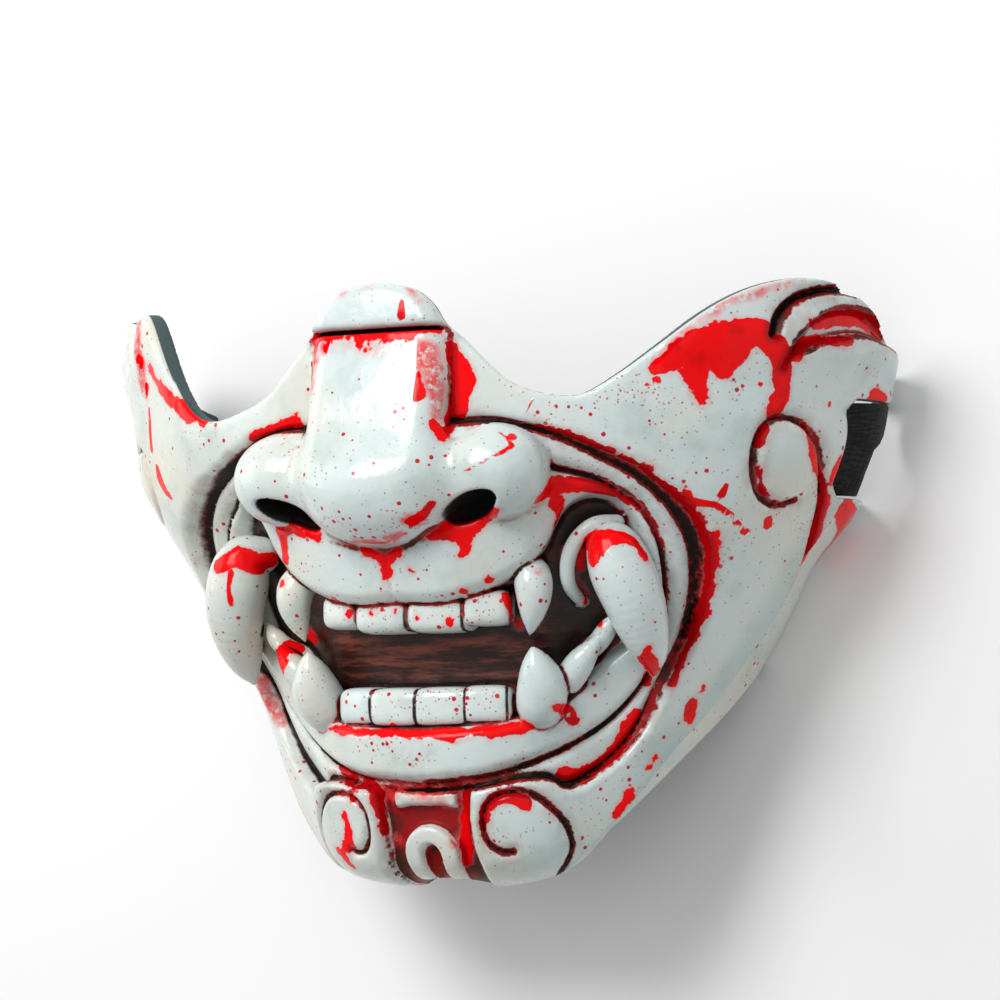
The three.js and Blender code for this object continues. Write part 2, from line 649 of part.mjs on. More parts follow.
function shellGeometry() {
  const { rim, axis } = halfOutline();
  const loop = [...rim.map(({ p }) => p), ...axis.map(({ p }) => p)];
  const outer = [...rim, ...axis];
  featureLines().forEach((line) => {
    resample(line, FOLD_STEP).forEach(([w, y]) => {
      if (insideWithMargin(w, y, loop, 1.4)) {
        addIfClear(outer, [w, y], 1.45);
      }
    });
  });
  fillPoints(outer, loop, (w) => mix(FILL_STEP.front, FILL_STEP.side, rise(w, 55, 90)), () => 2);
  const inner = [...rim, ...axis];
  fillPoints(inner, loop, () => INNER_STEP, () => 2.6);

  const positions = [];
  const indices = [];
  const addSheet = (points, lifted, faceOut) => {
    const right = lifted.map((point) => positions.push(point) - 1);
    const left = lifted.map((point, i) => {
      const mirrored = new THREE.Vector3(-point.x, point.y + rightRimShift(points[i].p), point.z);
      return points[i].p[0] === 0 ? right[i] : positions.push(mirrored) - 1;
    });
    sheetTriangles(points, loop).map((ids) => facingOut(ids, points)).forEach(([a, b, c]) => {
      const flip = faceOut ? [[a, b, c], [a, c, b]] : [[a, c, b], [a, b, c]];
      indices.push(...flip[0].map((i) => right[i]), ...flip[1].map((i) => left[i]));
    });
    return { right, left };
  };
  const front = addSheet(outer, liftSheet(outer, outerRadius), true);
  const back = addSheet(inner, liftSheet(inner, innerRadius), false);
  for (let i = 1; i < rim.length; i += 1) {
    const [a, b] = [i - 1, i];
    indices.push(front.right[a], front.right[b], back.right[b], front.right[a], back.right[b], back.right[a]);
    indices.push(front.left[b], front.left[a], back.left[a], front.left[b], back.left[a], back.left[b]);
  }
  return meshGeometry(positions, indices);
}

function sideOf(point, side) {
  return new THREE.Vector3(point.x * side, point.y, point.z);
}

function onFace(w, y, raise) {
  return placeAt(w, y, bareRadius(w, y) + raise);
}

// A tooth with a boxy, rounded body, standing out of the mouth's floor.
function toothGeometry({ at, half, raise }, side) {
  const geometry = new THREE.SphereGeometry(1, 10, 6);
  const [w, y] = at;
  const centre = sideOf(onFace(w, y, raise), side);
  const angle = (side * w) / ARC_RADIUS;
  const across = new THREE.Vector3(Math.cos(angle), 0, -Math.sin(angle));
  const out = new THREE.Vector3(Math.sin(angle), 0, Math.cos(angle));
  const position = geometry.attributes.position;
  for (let i = 0; i < position.count; i += 1) {
    const direction = new THREE.Vector3().fromBufferAttribute(position, i);
    const powers = direction.toArray().map((value) => Math.abs(value) ** TOOTH_POWER);
    direction.multiplyScalar((powers[0] + powers[1] + powers[2]) ** (-1 / TOOTH_POWER));
    const point = centre.clone().addScaledVector(across, direction.x * half[0]);
    point.addScaledVector(out, direction.z * half[2]);
    point.y += direction.y * half[1];
    position.setXYZ(i, point.x, point.y, point.z);
  }
  return geometry;
}

// A horn: rings of changing radius along a smooth path, closed at both ends.
function hornGeometry({ path, radii }, side) {
  const points = path.map(([w, y, raise]) => sideOf(onFace(w, y, raise), side));
  const curve = new THREE.CatmullRomCurve3(points, false, 'catmullrom', 0.5);
  const rings = Math.round((path.length - 1) * 1.5);
  const frames = curve.computeFrenetFrames(rings, false);
  const positions = [];
  for (let ring = 0; ring <= rings; ring += 1) {
    const t = (ring / rings) * (radii.length - 1);
    const low = Math.min(Math.floor(t), radii.length - 2);
    const radius = mix(radii[low], radii[low + 1], t - low);
    const centre = curve.getPoint(ring / rings);
    for (let k = 0; k < HORN_SIDES; k += 1) {
      const angle = (2 * Math.PI * k) / HORN_SIDES;
      const point = centre.clone().addScaledVector(frames.normals[ring], radius * Math.cos(angle));
      positions.push(point.addScaledVector(frames.binormals[ring], radius * Math.sin(angle)));
    }
  }
  positions.push(curve.getPoint(0).addScaledVector(frames.tangents[0], -radii[0] * 0.6));
  positions.push(curve.getPoint(1).addScaledVector(frames.tangents[rings], radii[radii.length - 1] * 1.2));
  const indices = [];
  for (let ring = 0; ring < rings; ring += 1) {
    for (let k = 0; k < HORN_SIDES; k += 1) {
      const next = (k + 1) % HORN_SIDES;
      const [a, b] = [ring * HORN_SIDES + k, ring * HORN_SIDES + next];
      const [c, d] = [a + HORN_SIDES, b + HORN_SIDES];
      indices.push(a, b, d, a, d, c);
    }
  }
  const last = rings * HORN_SIDES;
  for (let k = 0; k < HORN_SIDES; k += 1) {
    const next = (k + 1) % HORN_SIDES;
    indices.push(positions.length - 2, next, k, positions.length - 1, last + k, last + next);
  }
  return meshGeometry(positions, indices);
}

function nostrilGeometry(side) {
  const { centre, radii, tilt, rise: lift } = NOSTRIL;
  const geometry = new THREE.SphereGeometry(1, 12, 8).scale(...radii);
  geometry.rotateZ(side * THREE.MathUtils.degToRad(tilt));
  geometry.rotateX(THREE.MathUtils.degToRad(lift));
  return geometry.translate(side * centre[0], centre[1], centre[2]);
}

// Solids from closed meshes.
const wasm = await Module();
wasm.setup();

function toSolid(geometry) {
  const bare = geometry.clone();
  bare.deleteAttribute('normal');
  bare.deleteAttribute('uv');
  const merged = mergeVertices(bare, 1e-4);
  return new wasm.Manifold(
    new wasm.Mesh({
      numProp: 3,
      vertProperties: new Float32Array(merged.attributes.position.array),
      triVerts: new Uint32Array(merged.index.array),
    }),
  );
}

function toGeometry(solid) {
  const mesh = solid.getMesh();
  const geometry = new THREE.BufferGeometry();
  geometry.setAttribute('position', new THREE.BufferAttribute(new Float32Array(mesh.vertProperties), 3));
  geometry.setIndex(new THREE.BufferAttribute(new Uint32Array(mesh.triVerts), 1));
  return geometry;
}

function maskSolid() {
  let solid = toSolid(shellGeometry());
  for (const side of [-1, 1]) {
    for (const tooth of [...UPPER_TEETH, ...LOWER_TEETH]) {
      solid = solid.add(toSolid(toothGeometry(tooth, side)));
    }
    for (const horn of [UPPER_FANG, LOWER_FANG, SIDE_TOOTH, SMALL_TOOTH, GUM_RING, TUSK]) {
      solid = solid.add(toSolid(hornGeometry(horn, side)));
    }
    solid = solid.subtract(toSolid(nostrilGeometry(side)));
  }
  return solid;
}

// A strap end: a thin plate behind the notch that follows the back of the wall.
function plateGeometry(lattice, placeInLayer) {
  const columns = lattice[0].length - 1;
  const rows = lattice.length - 1;
  const perLayer = (columns + 1) * (rows + 1);
  const id = (layer, i, j) => layer * perLayer + j * (columns + 1) + i;
  const quads = [];
  for (let i = 0; i < columns; i += 1) {
    for (let j = 0; j < rows; j += 1) {
      quads.push([id(0, i, j), id(0, i + 1, j), id(0, i + 1, j + 1), id(0, i, j + 1)]);
      quads.push([id(1, i, j + 1), id(1, i + 1, j + 1), id(1, i + 1, j), id(1, i, j)]);
    }
    quads.push([id(1, i, 0), id(1, i + 1, 0), id(0, i + 1, 0), id(0, i, 0)]);
    quads.push([id(0, i, rows), id(0, i + 1, rows), id(1, i + 1, rows), id(1, i, rows)]);
  }
  for (let j = 0; j < rows; j += 1) {
    quads.push([id(0, 0, j), id(0, 0, j + 1), id(1, 0, j + 1), id(1, 0, j)]);
    quads.push([id(1, columns, j), id(1, columns, j + 1), id(0, columns, j + 1), id(0, columns, j)]);
  }
  const points = [0, 1].flatMap((layer) => lattice.flat().map((place) => placeInLayer(place, layer)));
  return meshGeometry(points, quads.flatMap(([a, b, c, d]) => [a, b, c, a, c, d]));
}

function tabGeometry(side) {
  const columns = 5;
  const lattice = TAB_REAR.map(([y, rear]) =>
    Array.from({ length: columns + 1 }, (_, i) => [mix(TAB.front, rear, i / columns), y]));
  const rows = side > 0 ? lattice : lattice.map((row) => [...row].reverse());
  return plateGeometry(rows, ([w, y], layer) => {
    const depth = TAB.clearance + layer * TAB.thickness;
    return sideOf(placeAt(w, y, innerRadius(w, y) - depth), side);
  });
}

function rivetGeometry(side) {
  const { at, radius, height } = RIVET;
  const [w, y] = at;
  const profile = [[0, 0], [radius, 0], [radius, height * 0.4], [radius * 0.7, height], [0, height]];
  const geometry = new THREE.LatheGeometry(profile.map(([r, h]) => new THREE.Vector2(r, h)), 10);
  const seat = placeAt(w, y, innerRadius(w, y) - TAB.clearance + 2 * GAP);
  const along = placeAt(w + 1, y, innerRadius(w + 1, y)).sub(placeAt(w - 1, y, innerRadius(w - 1, y)));
  const outward = new THREE.Vector3(-along.z, 0, along.x).normalize();
  const turn = new THREE.Quaternion().setFromUnitVectors(new THREE.Vector3(0, 1, 0), sideOf(outward, side));
  return geometry.applyQuaternion(turn).translate(side * seat.x, seat.y, seat.z);
}

// The whole object, set down with its rear ends on z = 0.
const RESIN = { color: 0xdfe4e0, roughness: 0.28, metalness: 0 };
const WEBBING = { color: 0x121212, roughness: 0.85, metalness: 0 };
const STEEL = { color: 0xd0d2d4, roughness: 0.3, metalness: 1 };

function namedMesh(name, geometry, look) {
  const mesh = new THREE.Mesh(geometry, new THREE.MeshStandardMaterial(look));
  mesh.name = name;
  return mesh;
}

const mask = new THREE.Group();
mask.add(namedMesh('mask_shell', toGeometry(maskSolid()), RESIN));
for (const [word, side] of [['left', 1], ['right', -1]]) {
  mask.add(namedMesh(`strap_tab_${word}`, tabGeometry(side), WEBBING));
  mask.add(namedMesh(`rivet_${word}`, rivetGeometry(side), STEEL));
}
mask.position.set(0, -FACE_CENTRE_Y, -REAR_PLANE_Z);

const object = new THREE.Group();
object.add(mask);

export default object;
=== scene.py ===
import math
import bpy
import numpy as np
from mathutils import Matrix, Vector


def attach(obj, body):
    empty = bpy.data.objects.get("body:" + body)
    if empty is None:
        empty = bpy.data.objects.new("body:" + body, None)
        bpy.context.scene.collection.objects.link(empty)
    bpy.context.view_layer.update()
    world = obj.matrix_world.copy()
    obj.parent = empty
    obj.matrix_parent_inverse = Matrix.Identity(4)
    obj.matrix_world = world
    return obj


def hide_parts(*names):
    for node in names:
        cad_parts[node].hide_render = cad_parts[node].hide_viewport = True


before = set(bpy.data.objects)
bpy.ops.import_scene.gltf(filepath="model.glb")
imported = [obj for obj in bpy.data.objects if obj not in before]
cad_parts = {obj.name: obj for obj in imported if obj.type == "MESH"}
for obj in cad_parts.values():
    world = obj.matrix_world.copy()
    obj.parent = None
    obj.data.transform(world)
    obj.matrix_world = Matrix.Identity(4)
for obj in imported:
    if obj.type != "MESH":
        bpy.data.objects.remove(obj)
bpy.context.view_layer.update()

# Looks of the demon half mask. Shapes are worked out in millimetres in the face's own frame
# (x across, y up the face, z out of it) and set down at the end in the frame of the solids.

# Sizes shared with the solids, in millimetres.
MM = 0.001
WALL = 4.0
AXIS_Z = -60.0
REAR_DEPTH = 36.0
SECTION_POWER = 2.15
REAR_PLANE_Z = -72.0
ARC_RADIUS = 70.0
FACE_CENTRE_Y = 2.78
FRAME_SHIFT = (0, -FACE_CENTRE_Y, -REAR_PLANE_Z)

SECTIONS = np.array([
    [-70, 24, -38], [-66, 35, -24], [-62, 42, -16.5], [-57, 47, -13.5], [-50, 51, -11.5],
    [-41, 54, -9.5], [-32, 57.5, -8], [-19, 64, -7], [-5, 72.5, -3], [8, 79.5, 0.5],
    [15, 84, 2], [22, 88.5, 3.5], [38, 95, 7], [60, 98, 8], [80, 98, 6],
], float)
TOP_EDGE = [
    [0, 71.5], [5, 71], [10, 69.3], [14, 66], [17, 61.5], [21, 58], [27, 52], [32, 47.7], [39, 45],
    [46, 44.7], [53, 49], [60, 55], [67, 61.5], [73, 66], [79, 69], [86, 70.6], [94, 69.6],
    [102, 65], [108, 59.5], [113, 54.5],
]
BOTTOM_EDGE = [
    [113, -22], [106, -27.5], [91, -37], [74, -47.5], [62, -55], [54, -60], [46, -63.5],
    [36, -65], [24, -66], [16, -65], [8, -64.2], [0, -64],
]
NOTCH = [[140, 44], [102, 44], [99, 41], [99, 25], [102, 22], [140, 22]]
OUTER_FOLD = [
    [-10, 39.5], [17, 39.3], [27, 39.4], [36, 37.7], [43, 35.3], [50, 32], [58.5, 27.5], [65, 22],
    [70, 16.5], [74, 10], [76.6, 1], [77, -9], [75.5, -15], [73, -22], [70, -29], [64, -35.5],
    [55, -40.5], [47, -43], [41, -41], [32, -41], [20, -42.7], [0, -44], [-10, -44],
]
INNER_FOLD = [
    [-10, 29.5], [25, 29.5], [38.6, 29], [49, 26.7], [55.5, 24], [61, 20], [65, 14.5], [68, 8],
    [70.6, -1], [71.8, -10], [70.8, -17], [68, -21.6], [63, -26.3], [56, -30.5], [45, -34.8],
    [32, -38.4], [20, -40.6], [0, -42], [-10, -42],
]
MOUTH = [
    [-10, -0.6], [0, -0.5], [10, -1], [20, 0.4], [28, 3], [35, 6.8], [39.6, 11.6], [41.8, 16],
    [44, 19.6], [47.3, 22], [51.5, 23], [56.6, 21.8], [60.5, 17.8], [63, 12.3], [65, 6],
    [66.6, -1], [66.6, -7], [64, -10.5], [59, -14], [51.8, -19.6], [42.4, -24], [32.4, -26.6],
    [20.4, -28.3], [4, -29], [-10, -29],
]
JAW_LINE = [
    [103, 24], [103, 16], [102, 8], [100.5, 1], [99, -6], [96.5, -14], [92.5, -22], [87, -28.5],
    [80, -35], [73, -42], [66, -48.7], [59, -55.5], [51, -63], [47, -70],
]
CHIN_FIELD = [
    [-10, -43], [12, -43], [16.4, -43.4], [15.6, -50], [16.4, -57], [18.5, -62], [21, -70],
    [-10, -70],
]
CHIN_SPIRAL = [
    [30, -57.6], [26, -57.6], [22.5, -56], [20.6, -53], [20.6, -49], [23, -45.8], [28, -44],
    [35, -44.4], [42, -48], [47, -52.5], [49, -57.5], [46, -63],
]
EAR_SPIRAL = [
    [90, 21], [86, 19.8], [82, 21.6], [79.4, 26], [78.4, 32], [79.6, 37], [83, 39.2],
    [87.5, 37.4], [91.5, 33], [94.8, 26.5], [98, 19], [101, 11], [102, 3],
]
UPPER_LEAF = [[80, 57.5], [81.3, 62], [85, 66], [91, 68.2], [98, 68]]
LOWER_LEAF = [
    [82, 50], [84.5, 57], [89, 62], [95, 64.4], [101, 64], [107, 60.5], [112, 56], [106, 57],
    [99, 58], [91, 56.6], [85.5, 53.5],
]

LIP_HEIGHT = {"upper_middle": 5.5, "upper_corner": -4.5, "lower_middle": 2, "lower_corner": -4}
MOUTH_FLOOR = {"middle": -9, "corner": -11}
FOLD_ROLL = 3
FOLD_DROP = 2.4
OUTER_FOLD_DROP = 1.3
CHEEK_EDGE = (2.2, 1.5)
FIELD_EDGE = (3, 2)
CHIN_BLOCK_HEIGHT = 3.4
CHIN_FIELD_HEIGHT = -2
CAP_HEIGHT = {"edge": 1.8, "middle": 4.4}
CAP_BOTTOM_Y = 60.8
CAP_HALF_WIDTH = 17
JAW_STEP = {"drop": 2.6, "lip": 0.8}
GROOVE = {"half_width": 1.9, "depth": 2}
CHIN_BAR = {"half_length": 11.8, "y": -45.4, "half_height": 1.9, "raise": 2.4}
CHIN_ARCH = {"foot_y": -59, "half_width": 11.5, "height": 8.2, "raise": 3.2}
CHIN_HOLE = {"half_width": 3.8, "height": 3.2, "depth": 4.5}
CHEEK_SWELL = ((74, 20), (12, 16), 1)
EAR_SWELLINGS = [
    ((86.5, 29.5), (6.5, 8), 1.4), ((72, 57), (13, 7), 1.6), ((99, 44), (9, 6), -2.2),
    ((101, 54), (14, 4), 1.6), ((88, 60), (5, 3), 1.2),
]
LEAF_DEPTH = 2.4
CREASE = {"below": 0.6, "depth": 2.2}
RIGHT_DIP = {"at": 54, "width": 8, "depth": 4.5}
RIGHT_CLIMB = {"at": 69, "width": 6, "height": 6.6}

BRIDGE = {"half_width": 17, "half_depth": 11, "front_at_top": 11, "slope": 0.25, "edge": 6,
          "top_y": 60, "bottom_y": 26}
NOSE_TIP = ((0, 24.5, 8), (19, 12.6, 14))
NOSE_WING = ((26.4, 28.2, 4), (12.8, 10.8, 11.2))
NOSTRIL = {"centre": (23.2, 20.0, 9.5), "radii": (7.9, 3.3, 9.5), "tilt": 26, "rise": 12}
NOSE_HOLLOW = ((0, 32, 0), (12.5, 20, 12))
NOSE_BLEND = 6
BRIDGE_FOOT_BLEND = 7

# Teeth by arc position and height of the middle, half sizes across, up and deep, and raise.
TEETH = [
    ((8.4, -3.4), (7.6, 4.3, 6.6), -3),
    ((22.2, -2.2), (5.6, 4.2, 6.4), -3.8),
    ((8, -24.4), (7.6, 4.6, 5.6), -4.2),
    ((22.4, -24), (6.2, 4.4, 5.4), -4.6),
]
TOOTH_POWER = 4.0

# Horns of the mouth: path points as arc, height and raise, then the radius at each.
HORNS = {
    "upper_fang": [(35.8, 6.6, -8.4, 3), (36.2, 4.6, -3, 4.3), (36.4, 0.8, -0.6, 4.1),
                   (36, -3.8, 0.2, 2.7), (35.4, -8.6, 0.3, 0.3)],
    "lower_fang": [(38.4, -25.4, -7.6, 3), (38.7, -24.6, -3.2, 5.4), (38.9, -20.6, -1, 5.7),
                   (37.5, -15.9, 0, 3.7), (36, -11.2, 0.2, 0.3)],
    "side_tooth": [(45.6, -22, -10, 3), (47.4, -18.6, -4.6, 3.4), (50, -14.6, -3.2, 3.2),
                   (53.8, -10, -3.4, 1.2)],
    "small_tooth": [(54, -13, -11, 2.4), (55.4, -10, -6, 2.4), (56.5, -7.5, -4.8, 2.2),
                    (57.8, -4.8, -4.8, 0.9)],
    "tusk": [(54, 12, -7.5, 4.4), (55, 10.6, -3.2, 6), (56.6, 6, -1, 7.3), (59.4, -0.6, 0.9, 7),
             (62.5, -7.2, 1.6, 5.8), (65.5, -12.8, 1.8, 3.8), (67.4, -17.6, 1.6, 0.8)],
    "gum_ring": [(57, 16.5, -8, 1.8), (51, 16, -4.6, 1.8), (46.8, 12.6, -4, 1.8),
                 (45, 7.6, -4, 1.75), (46, 2.4, -5, 1.6), (51, -1, -10, 1.4)],
}
ONE_SIDED = ("gum_ring",)

# Strap ends and rivets. The rivet's profile is radius and height, as shares of its own.
TAB = {"front": 88, "thickness": 1.6, "clearance": 0.8, "border": 0.8, "border_drop": 0.35}
TAB_REAR = [(22.6, 111), (28, 110.4), (33, 110.6), (35, 113.4), (37.4, 115), (41, 115.4), (43.6, 115.2)]
TAB_FLARE = {"from": 101, "to": 110, "height": 4.2}
WEAVE = {"rows": 72, "columns": 80, "rib_pitch": 1.25, "rib": 0.12}
RIVET = {"at": (101, 31), "radius": 1.4, "height": 0.7, "sides": 40, "gap": 0.04}
RIVET_PROFILE = [(0.35, 0.98), (0.62, 0.86), (0.82, 0.6), (0.9, 0.36), (0.97, 0.3), (1, 0.14), (0.97, 0)]

# Fine carving that only the looks have.
PHILTRUM = {"half_width": 0.8, "depth": 0.7}
BRIDGE_SIDE = [(18, 59), (17.9, 48), (17.7, 37)]
CAP_LINE = [(0, 60.2), (17.4, 60.2)]
FOLD_GROOVES = {"outer_fold": (1.4, 0.7), "inner_fold": (1.2, 0.8), "upper_leaf": (1.8, 1.5)}
TOOTH_GAPS = (0.15, 15.9, 28.6)
UPPER_TEETH_SHIFT = 1.7
LIP_WRINKLES = {"y": -36.5, "half_height": 3.6, "half_width": 9, "pitch": 1.5, "depth": 0.35}

# Where the parts of the face begin, how softly they meet, and how thick the wall stays.
MOUTH_MIDDLE_Y = -12
CHIN_TOP_Y = -40
EAR_FROM = {"w": 60, "y": 0}
NOSE_REGION = {"w": 50, "bottom": 4, "top": 66}
NOSE_HOLLOW_REACH = 26
BLENDS = {"nose": 2, "teeth": 0.5, "nostril": 1, "hollow": 3, "rim": 1.3}
EXTRA_WALL = {"fold": 4.6, "chin": 1.5}
THINNEST_WALL = 2.4
THIN_REACH = 1.2
ABOVE_FACE = 1.2

# Volume grid, maps over the face and size of the mesh, and how far the paint's measures reach.
CELL = 0.75
GRID = {"x": (-101, 101), "y": (-70, 75), "deep": 98}
MAP_STEP = 0.4
MAP_W = (-4.0, 136.0)
MAP_Y = (-76.0, 80.0)
TRIANGLES = 196000
SCAN = {"from": 112.0, "to": 40.0, "step": 0.4}
GROOVE_REACH = 1.6
HOLLOW_REACH = 4.5
FAR_MM = 6.0
STROKE_REACH = 9.0
DOT_LENGTH = 0.01


# Maths helpers.
def clamp01(value):
    return np.clip(value, 0.0, 1.0)


def rise(value, low, high):
    t = clamp01((value - low) / (high - low))
    return t * t * (3 - 2 * t)


def mix(a, b, share):
    return a + (b - a) * share


def edge_roll(distance, width, drop):
    return drop * np.maximum(0, 1 - distance / width) ** 2


def smooth_min(a, b, blend):
    overlap = np.maximum(blend - np.abs(a - b), 0) / blend
    return np.minimum(a, b) - overlap ** 2 * blend / 4


def smooth_max(a, b, blend):
    return -smooth_min(-a, -b, blend)


def spline(points, per_span):
    """Points of a Catmull-Rom curve through the given ones, in any number of dimensions."""
    p = np.array(points, float)
    padded = np.vstack([p[:1], p, p[-1:]])
    spans = []
    for i in range(len(p) - 1):
        before, start, end, after = padded[i:i + 4]
        t = np.linspace(0, 1, per_span, endpoint=False)[:, None]
        leave = (end - before) / 2
        arrive = (after - start) / 2
        spans.append((2 * start - 2 * end + leave + arrive) * t ** 3
                     + (-3 * start + 3 * end - 2 * leave - arrive) * t ** 2 + leave * t + start)
    return np.vstack([*spans, p[-1:]])


def distance_to_line(w, y, line):
    nearest = np.full(np.shape(w), 1e9)
    for a, b in zip(line[:-1], line[1:]):
        run = b - a
        t = clamp01(((w - a[0]) * run[0] + (y - a[1]) * run[1]) / max(run @ run, 1e-9))
        nearest = np.minimum(nearest, np.hypot(w - a[0] - t * run[0], y - a[1] - t * run[1]))
    return nearest


def depth_in(w, y, loop):
    """Depth inside a closed loop, negative outside it."""
    inside = np.zeros(np.shape(w), bool)
    closed = np.vstack([loop, loop[:1]])
    for a, b in zip(closed[:-1], closed[1:]):
        if a[1] != b[1]:
            crossing = (b[0] - a[0]) * (y - a[1]) / (b[1] - a[1]) + a[0]
            inside ^= ((b[1] > y) != (a[1] > y)) & (w < crossing)
    distance = distance_to_line(w, y, closed)
    return np.where(inside, distance, -distance)


def swelling(w, y, at, size, height):
    return height * np.exp(-((w - at[0]) / size[0]) ** 2 - ((y - at[1]) / size[1]) ** 2)


# Bare face, carving and depth of the wall, over arc length and height.
def section_at(y):
    y = np.clip(y, SECTIONS[0, 0], SECTIONS[-1, 0])
    i = np.clip(np.searchsorted(SECTIONS[:, 0], y, side="right") - 1, 0, len(SECTIONS) - 2)
    before = SECTIONS[np.maximum(i - 1, 0)]
    start = SECTIONS[i]
    end = SECTIONS[i + 1]
    after = SECTIONS[np.minimum(i + 2, len(SECTIONS) - 1)]
    span = (end - start)[..., :1]
    t = (y[..., None] - start[..., :1]) / span
    leave = (end - before) / (end - before)[..., :1] * span
    arrive = (after - start) / (after - start)[..., :1] * span
    value = ((2 * t ** 3 - 3 * t ** 2 + 1) * start + (t ** 3 - 2 * t ** 2 + t) * leave
             + (-2 * t ** 3 + 3 * t ** 2) * end + (t ** 3 - t ** 2) * arrive)
    return value[..., 1], value[..., 2]


def bare_radius(w, y):
    half_width, front_z = section_at(np.asarray(y, float))
    angle = np.asarray(w, float) / ARC_RADIUS
    depth = np.where(np.cos(angle) > 0, front_z - AXIS_Z, REAR_DEPTH)
    across = np.abs(np.sin(angle) / half_width) ** SECTION_POWER
    along = np.abs(np.cos(angle) / depth) ** SECTION_POWER
    return (across + along) ** (-1 / SECTION_POWER)


def place_at(w, y, radius):
    angle = np.asarray(w, float) / ARC_RADIUS
    return np.stack([radius * np.sin(angle), np.broadcast_to(y, np.shape(angle)),
                     AXIS_Z + radius * np.cos(angle)], -1)


# Carved lines, smoothed where they are curves, by the points to a span.
LINES = {
    "outer_fold": spline(OUTER_FOLD, 5), "inner_fold": spline(INNER_FOLD, 5),
    "mouth": spline(MOUTH, 5), "jaw": spline(JAW_LINE, 5), "lower_leaf": spline(LOWER_LEAF, 5),
    "chin_spiral": spline(CHIN_SPIRAL, 6), "ear_spiral": spline(EAR_SPIRAL, 6),
    "upper_leaf": spline(UPPER_LEAF, 6), "chin_field": np.array(CHIN_FIELD, float),
    "bridge_side": np.array(BRIDGE_SIDE, float), "cap_line": np.array(CAP_LINE, float),
}

# Half widths of the dark paint along the carved lines, and the area beyond the jaw line.
SEAMS = {"inner_fold": 0.7, "chin_spiral": 0.9, "ear_spiral": 0.7,
         "upper_leaf": 1.2, "lower_leaf": 0.6, "chin_field": 0.5, "bridge_side": 0.6, "cap_line": 0.7}
OUTER_SEAM = {"offset": 0.3, "half": 1.0}
JAW_BAND = np.vstack([LINES["jaw"], [[140, -70], [140, 24]]])


def lip_level(w, y):
    upper = mix(LIP_HEIGHT["upper_middle"], LIP_HEIGHT["upper_corner"], rise(w, 12, 58))
    lower = mix(LIP_HEIGHT["lower_middle"], LIP_HEIGHT["lower_corner"], rise(w, 12, 60))
    return mix(lower, upper, rise(y, -22, -4))


def mouth_floor(w):
    return mix(MOUTH_FLOOR["middle"], MOUTH_FLOOR["corner"], rise(w, 35, 55))


def fold_and_lips(w, y, outside):
    outer = depth_in(w, y, LINES["outer_fold"])
    inner = depth_in(w, y, LINES["inner_fold"])
    mouth = depth_in(w, y, LINES["mouth"])
    level = lip_level(w, y)
    cheek = outside - edge_roll(-outer, *CHEEK_EDGE)
    outer_drop = mix(FOLD_DROP, OUTER_FOLD_DROP, rise(w, 25, 50))
    band = level - edge_roll(outer, FOLD_ROLL, outer_drop) - edge_roll(-inner, FOLD_ROLL, FOLD_DROP)
    rolled = edge_roll(inner, FOLD_ROLL, FOLD_DROP) + edge_roll(-mouth, FOLD_ROLL, FOLD_DROP)
    height = mix(cheek, band, rise(outer, -0.6, 0.6))
    height = mix(height, level + 0.4 - rolled, rise(inner, -0.5, 0.5))
    height = mix(height, mouth_floor(w), rise(mouth, -0.3, 1.3))
    return np.where(outer < -8, outside, height)


def depth_in_arch(w, y, half_width, height):
    above_foot = np.maximum(y - CHIN_ARCH["foot_y"], 0)
    return half_width * (1 - np.hypot(w / half_width, above_foot / height))


def groove_along(w, y, line):
    return edge_roll(distance_to_line(w, y, line), GROOVE["half_width"], GROOVE["depth"])


def chin_centre(w, y, outside):
    depth = depth_in(w, y, LINES["chin_field"])
    height = mix(outside - edge_roll(-depth, *FIELD_EDGE), CHIN_FIELD_HEIGHT, rise(depth, -0.6, 0.9))
    bar_half = CHIN_BAR["half_height"] + 0.5 * rise(w, 6, 10)
    bar = np.minimum(CHIN_BAR["half_length"] - w, bar_half - np.abs(y - CHIN_BAR["y"]))
    arch = depth_in_arch(w, y, CHIN_ARCH["half_width"], CHIN_ARCH["height"])
    hole = depth_in_arch(w, y, CHIN_HOLE["half_width"], CHIN_HOLE["height"])
    raised = CHIN_BAR["raise"] * rise(bar, -0.3, 1.2) + CHIN_ARCH["raise"] * rise(arch, -0.3, 2.2)
    raised = raised - CHIN_HOLE["depth"] * rise(hole, -0.6, 1)
    return np.where(depth < 0, height, height + raised)


def ear_folds(w, y):
    soft = sum(swelling(w, y, *item) for item in EAR_SWELLINGS)
    leaf = LEAF_DEPTH * rise(depth_in(w, y, LINES["lower_leaf"]), -0.5, 1.4)
    return (soft - leaf - groove_along(w, y, LINES["upper_leaf"])
            - groove_along(w, y, LINES["ear_spiral"]))


def web_height(w, y):
    return CAP_HEIGHT["edge"] * (1 - rise(w, CAP_HALF_WIDTH, 24)) * rise(y, 57.5, 61)


def nose_cap(w, y):
    across = CAP_HALF_WIDTH * (1 - np.hypot(w / CAP_HALF_WIDTH, (y - CAP_BOTTOM_Y) / 12))
    dome = (CAP_HEIGHT["middle"] - CAP_HEIGHT["edge"]) * rise(across, -2, 5)
    from_crease = np.abs(y - CAP_BOTTOM_Y + CREASE["below"])
    crease = CREASE["depth"] * (1 - rise(from_crease, 0.2, 1.3)) * (1 - rise(w, 16, 19))
    return web_height(w, y) + dome * rise(y - CAP_BOTTOM_Y, -0.4, 1.2) - crease


def jaw_fade(y):
    return 1 - rise(y, 4, 20)


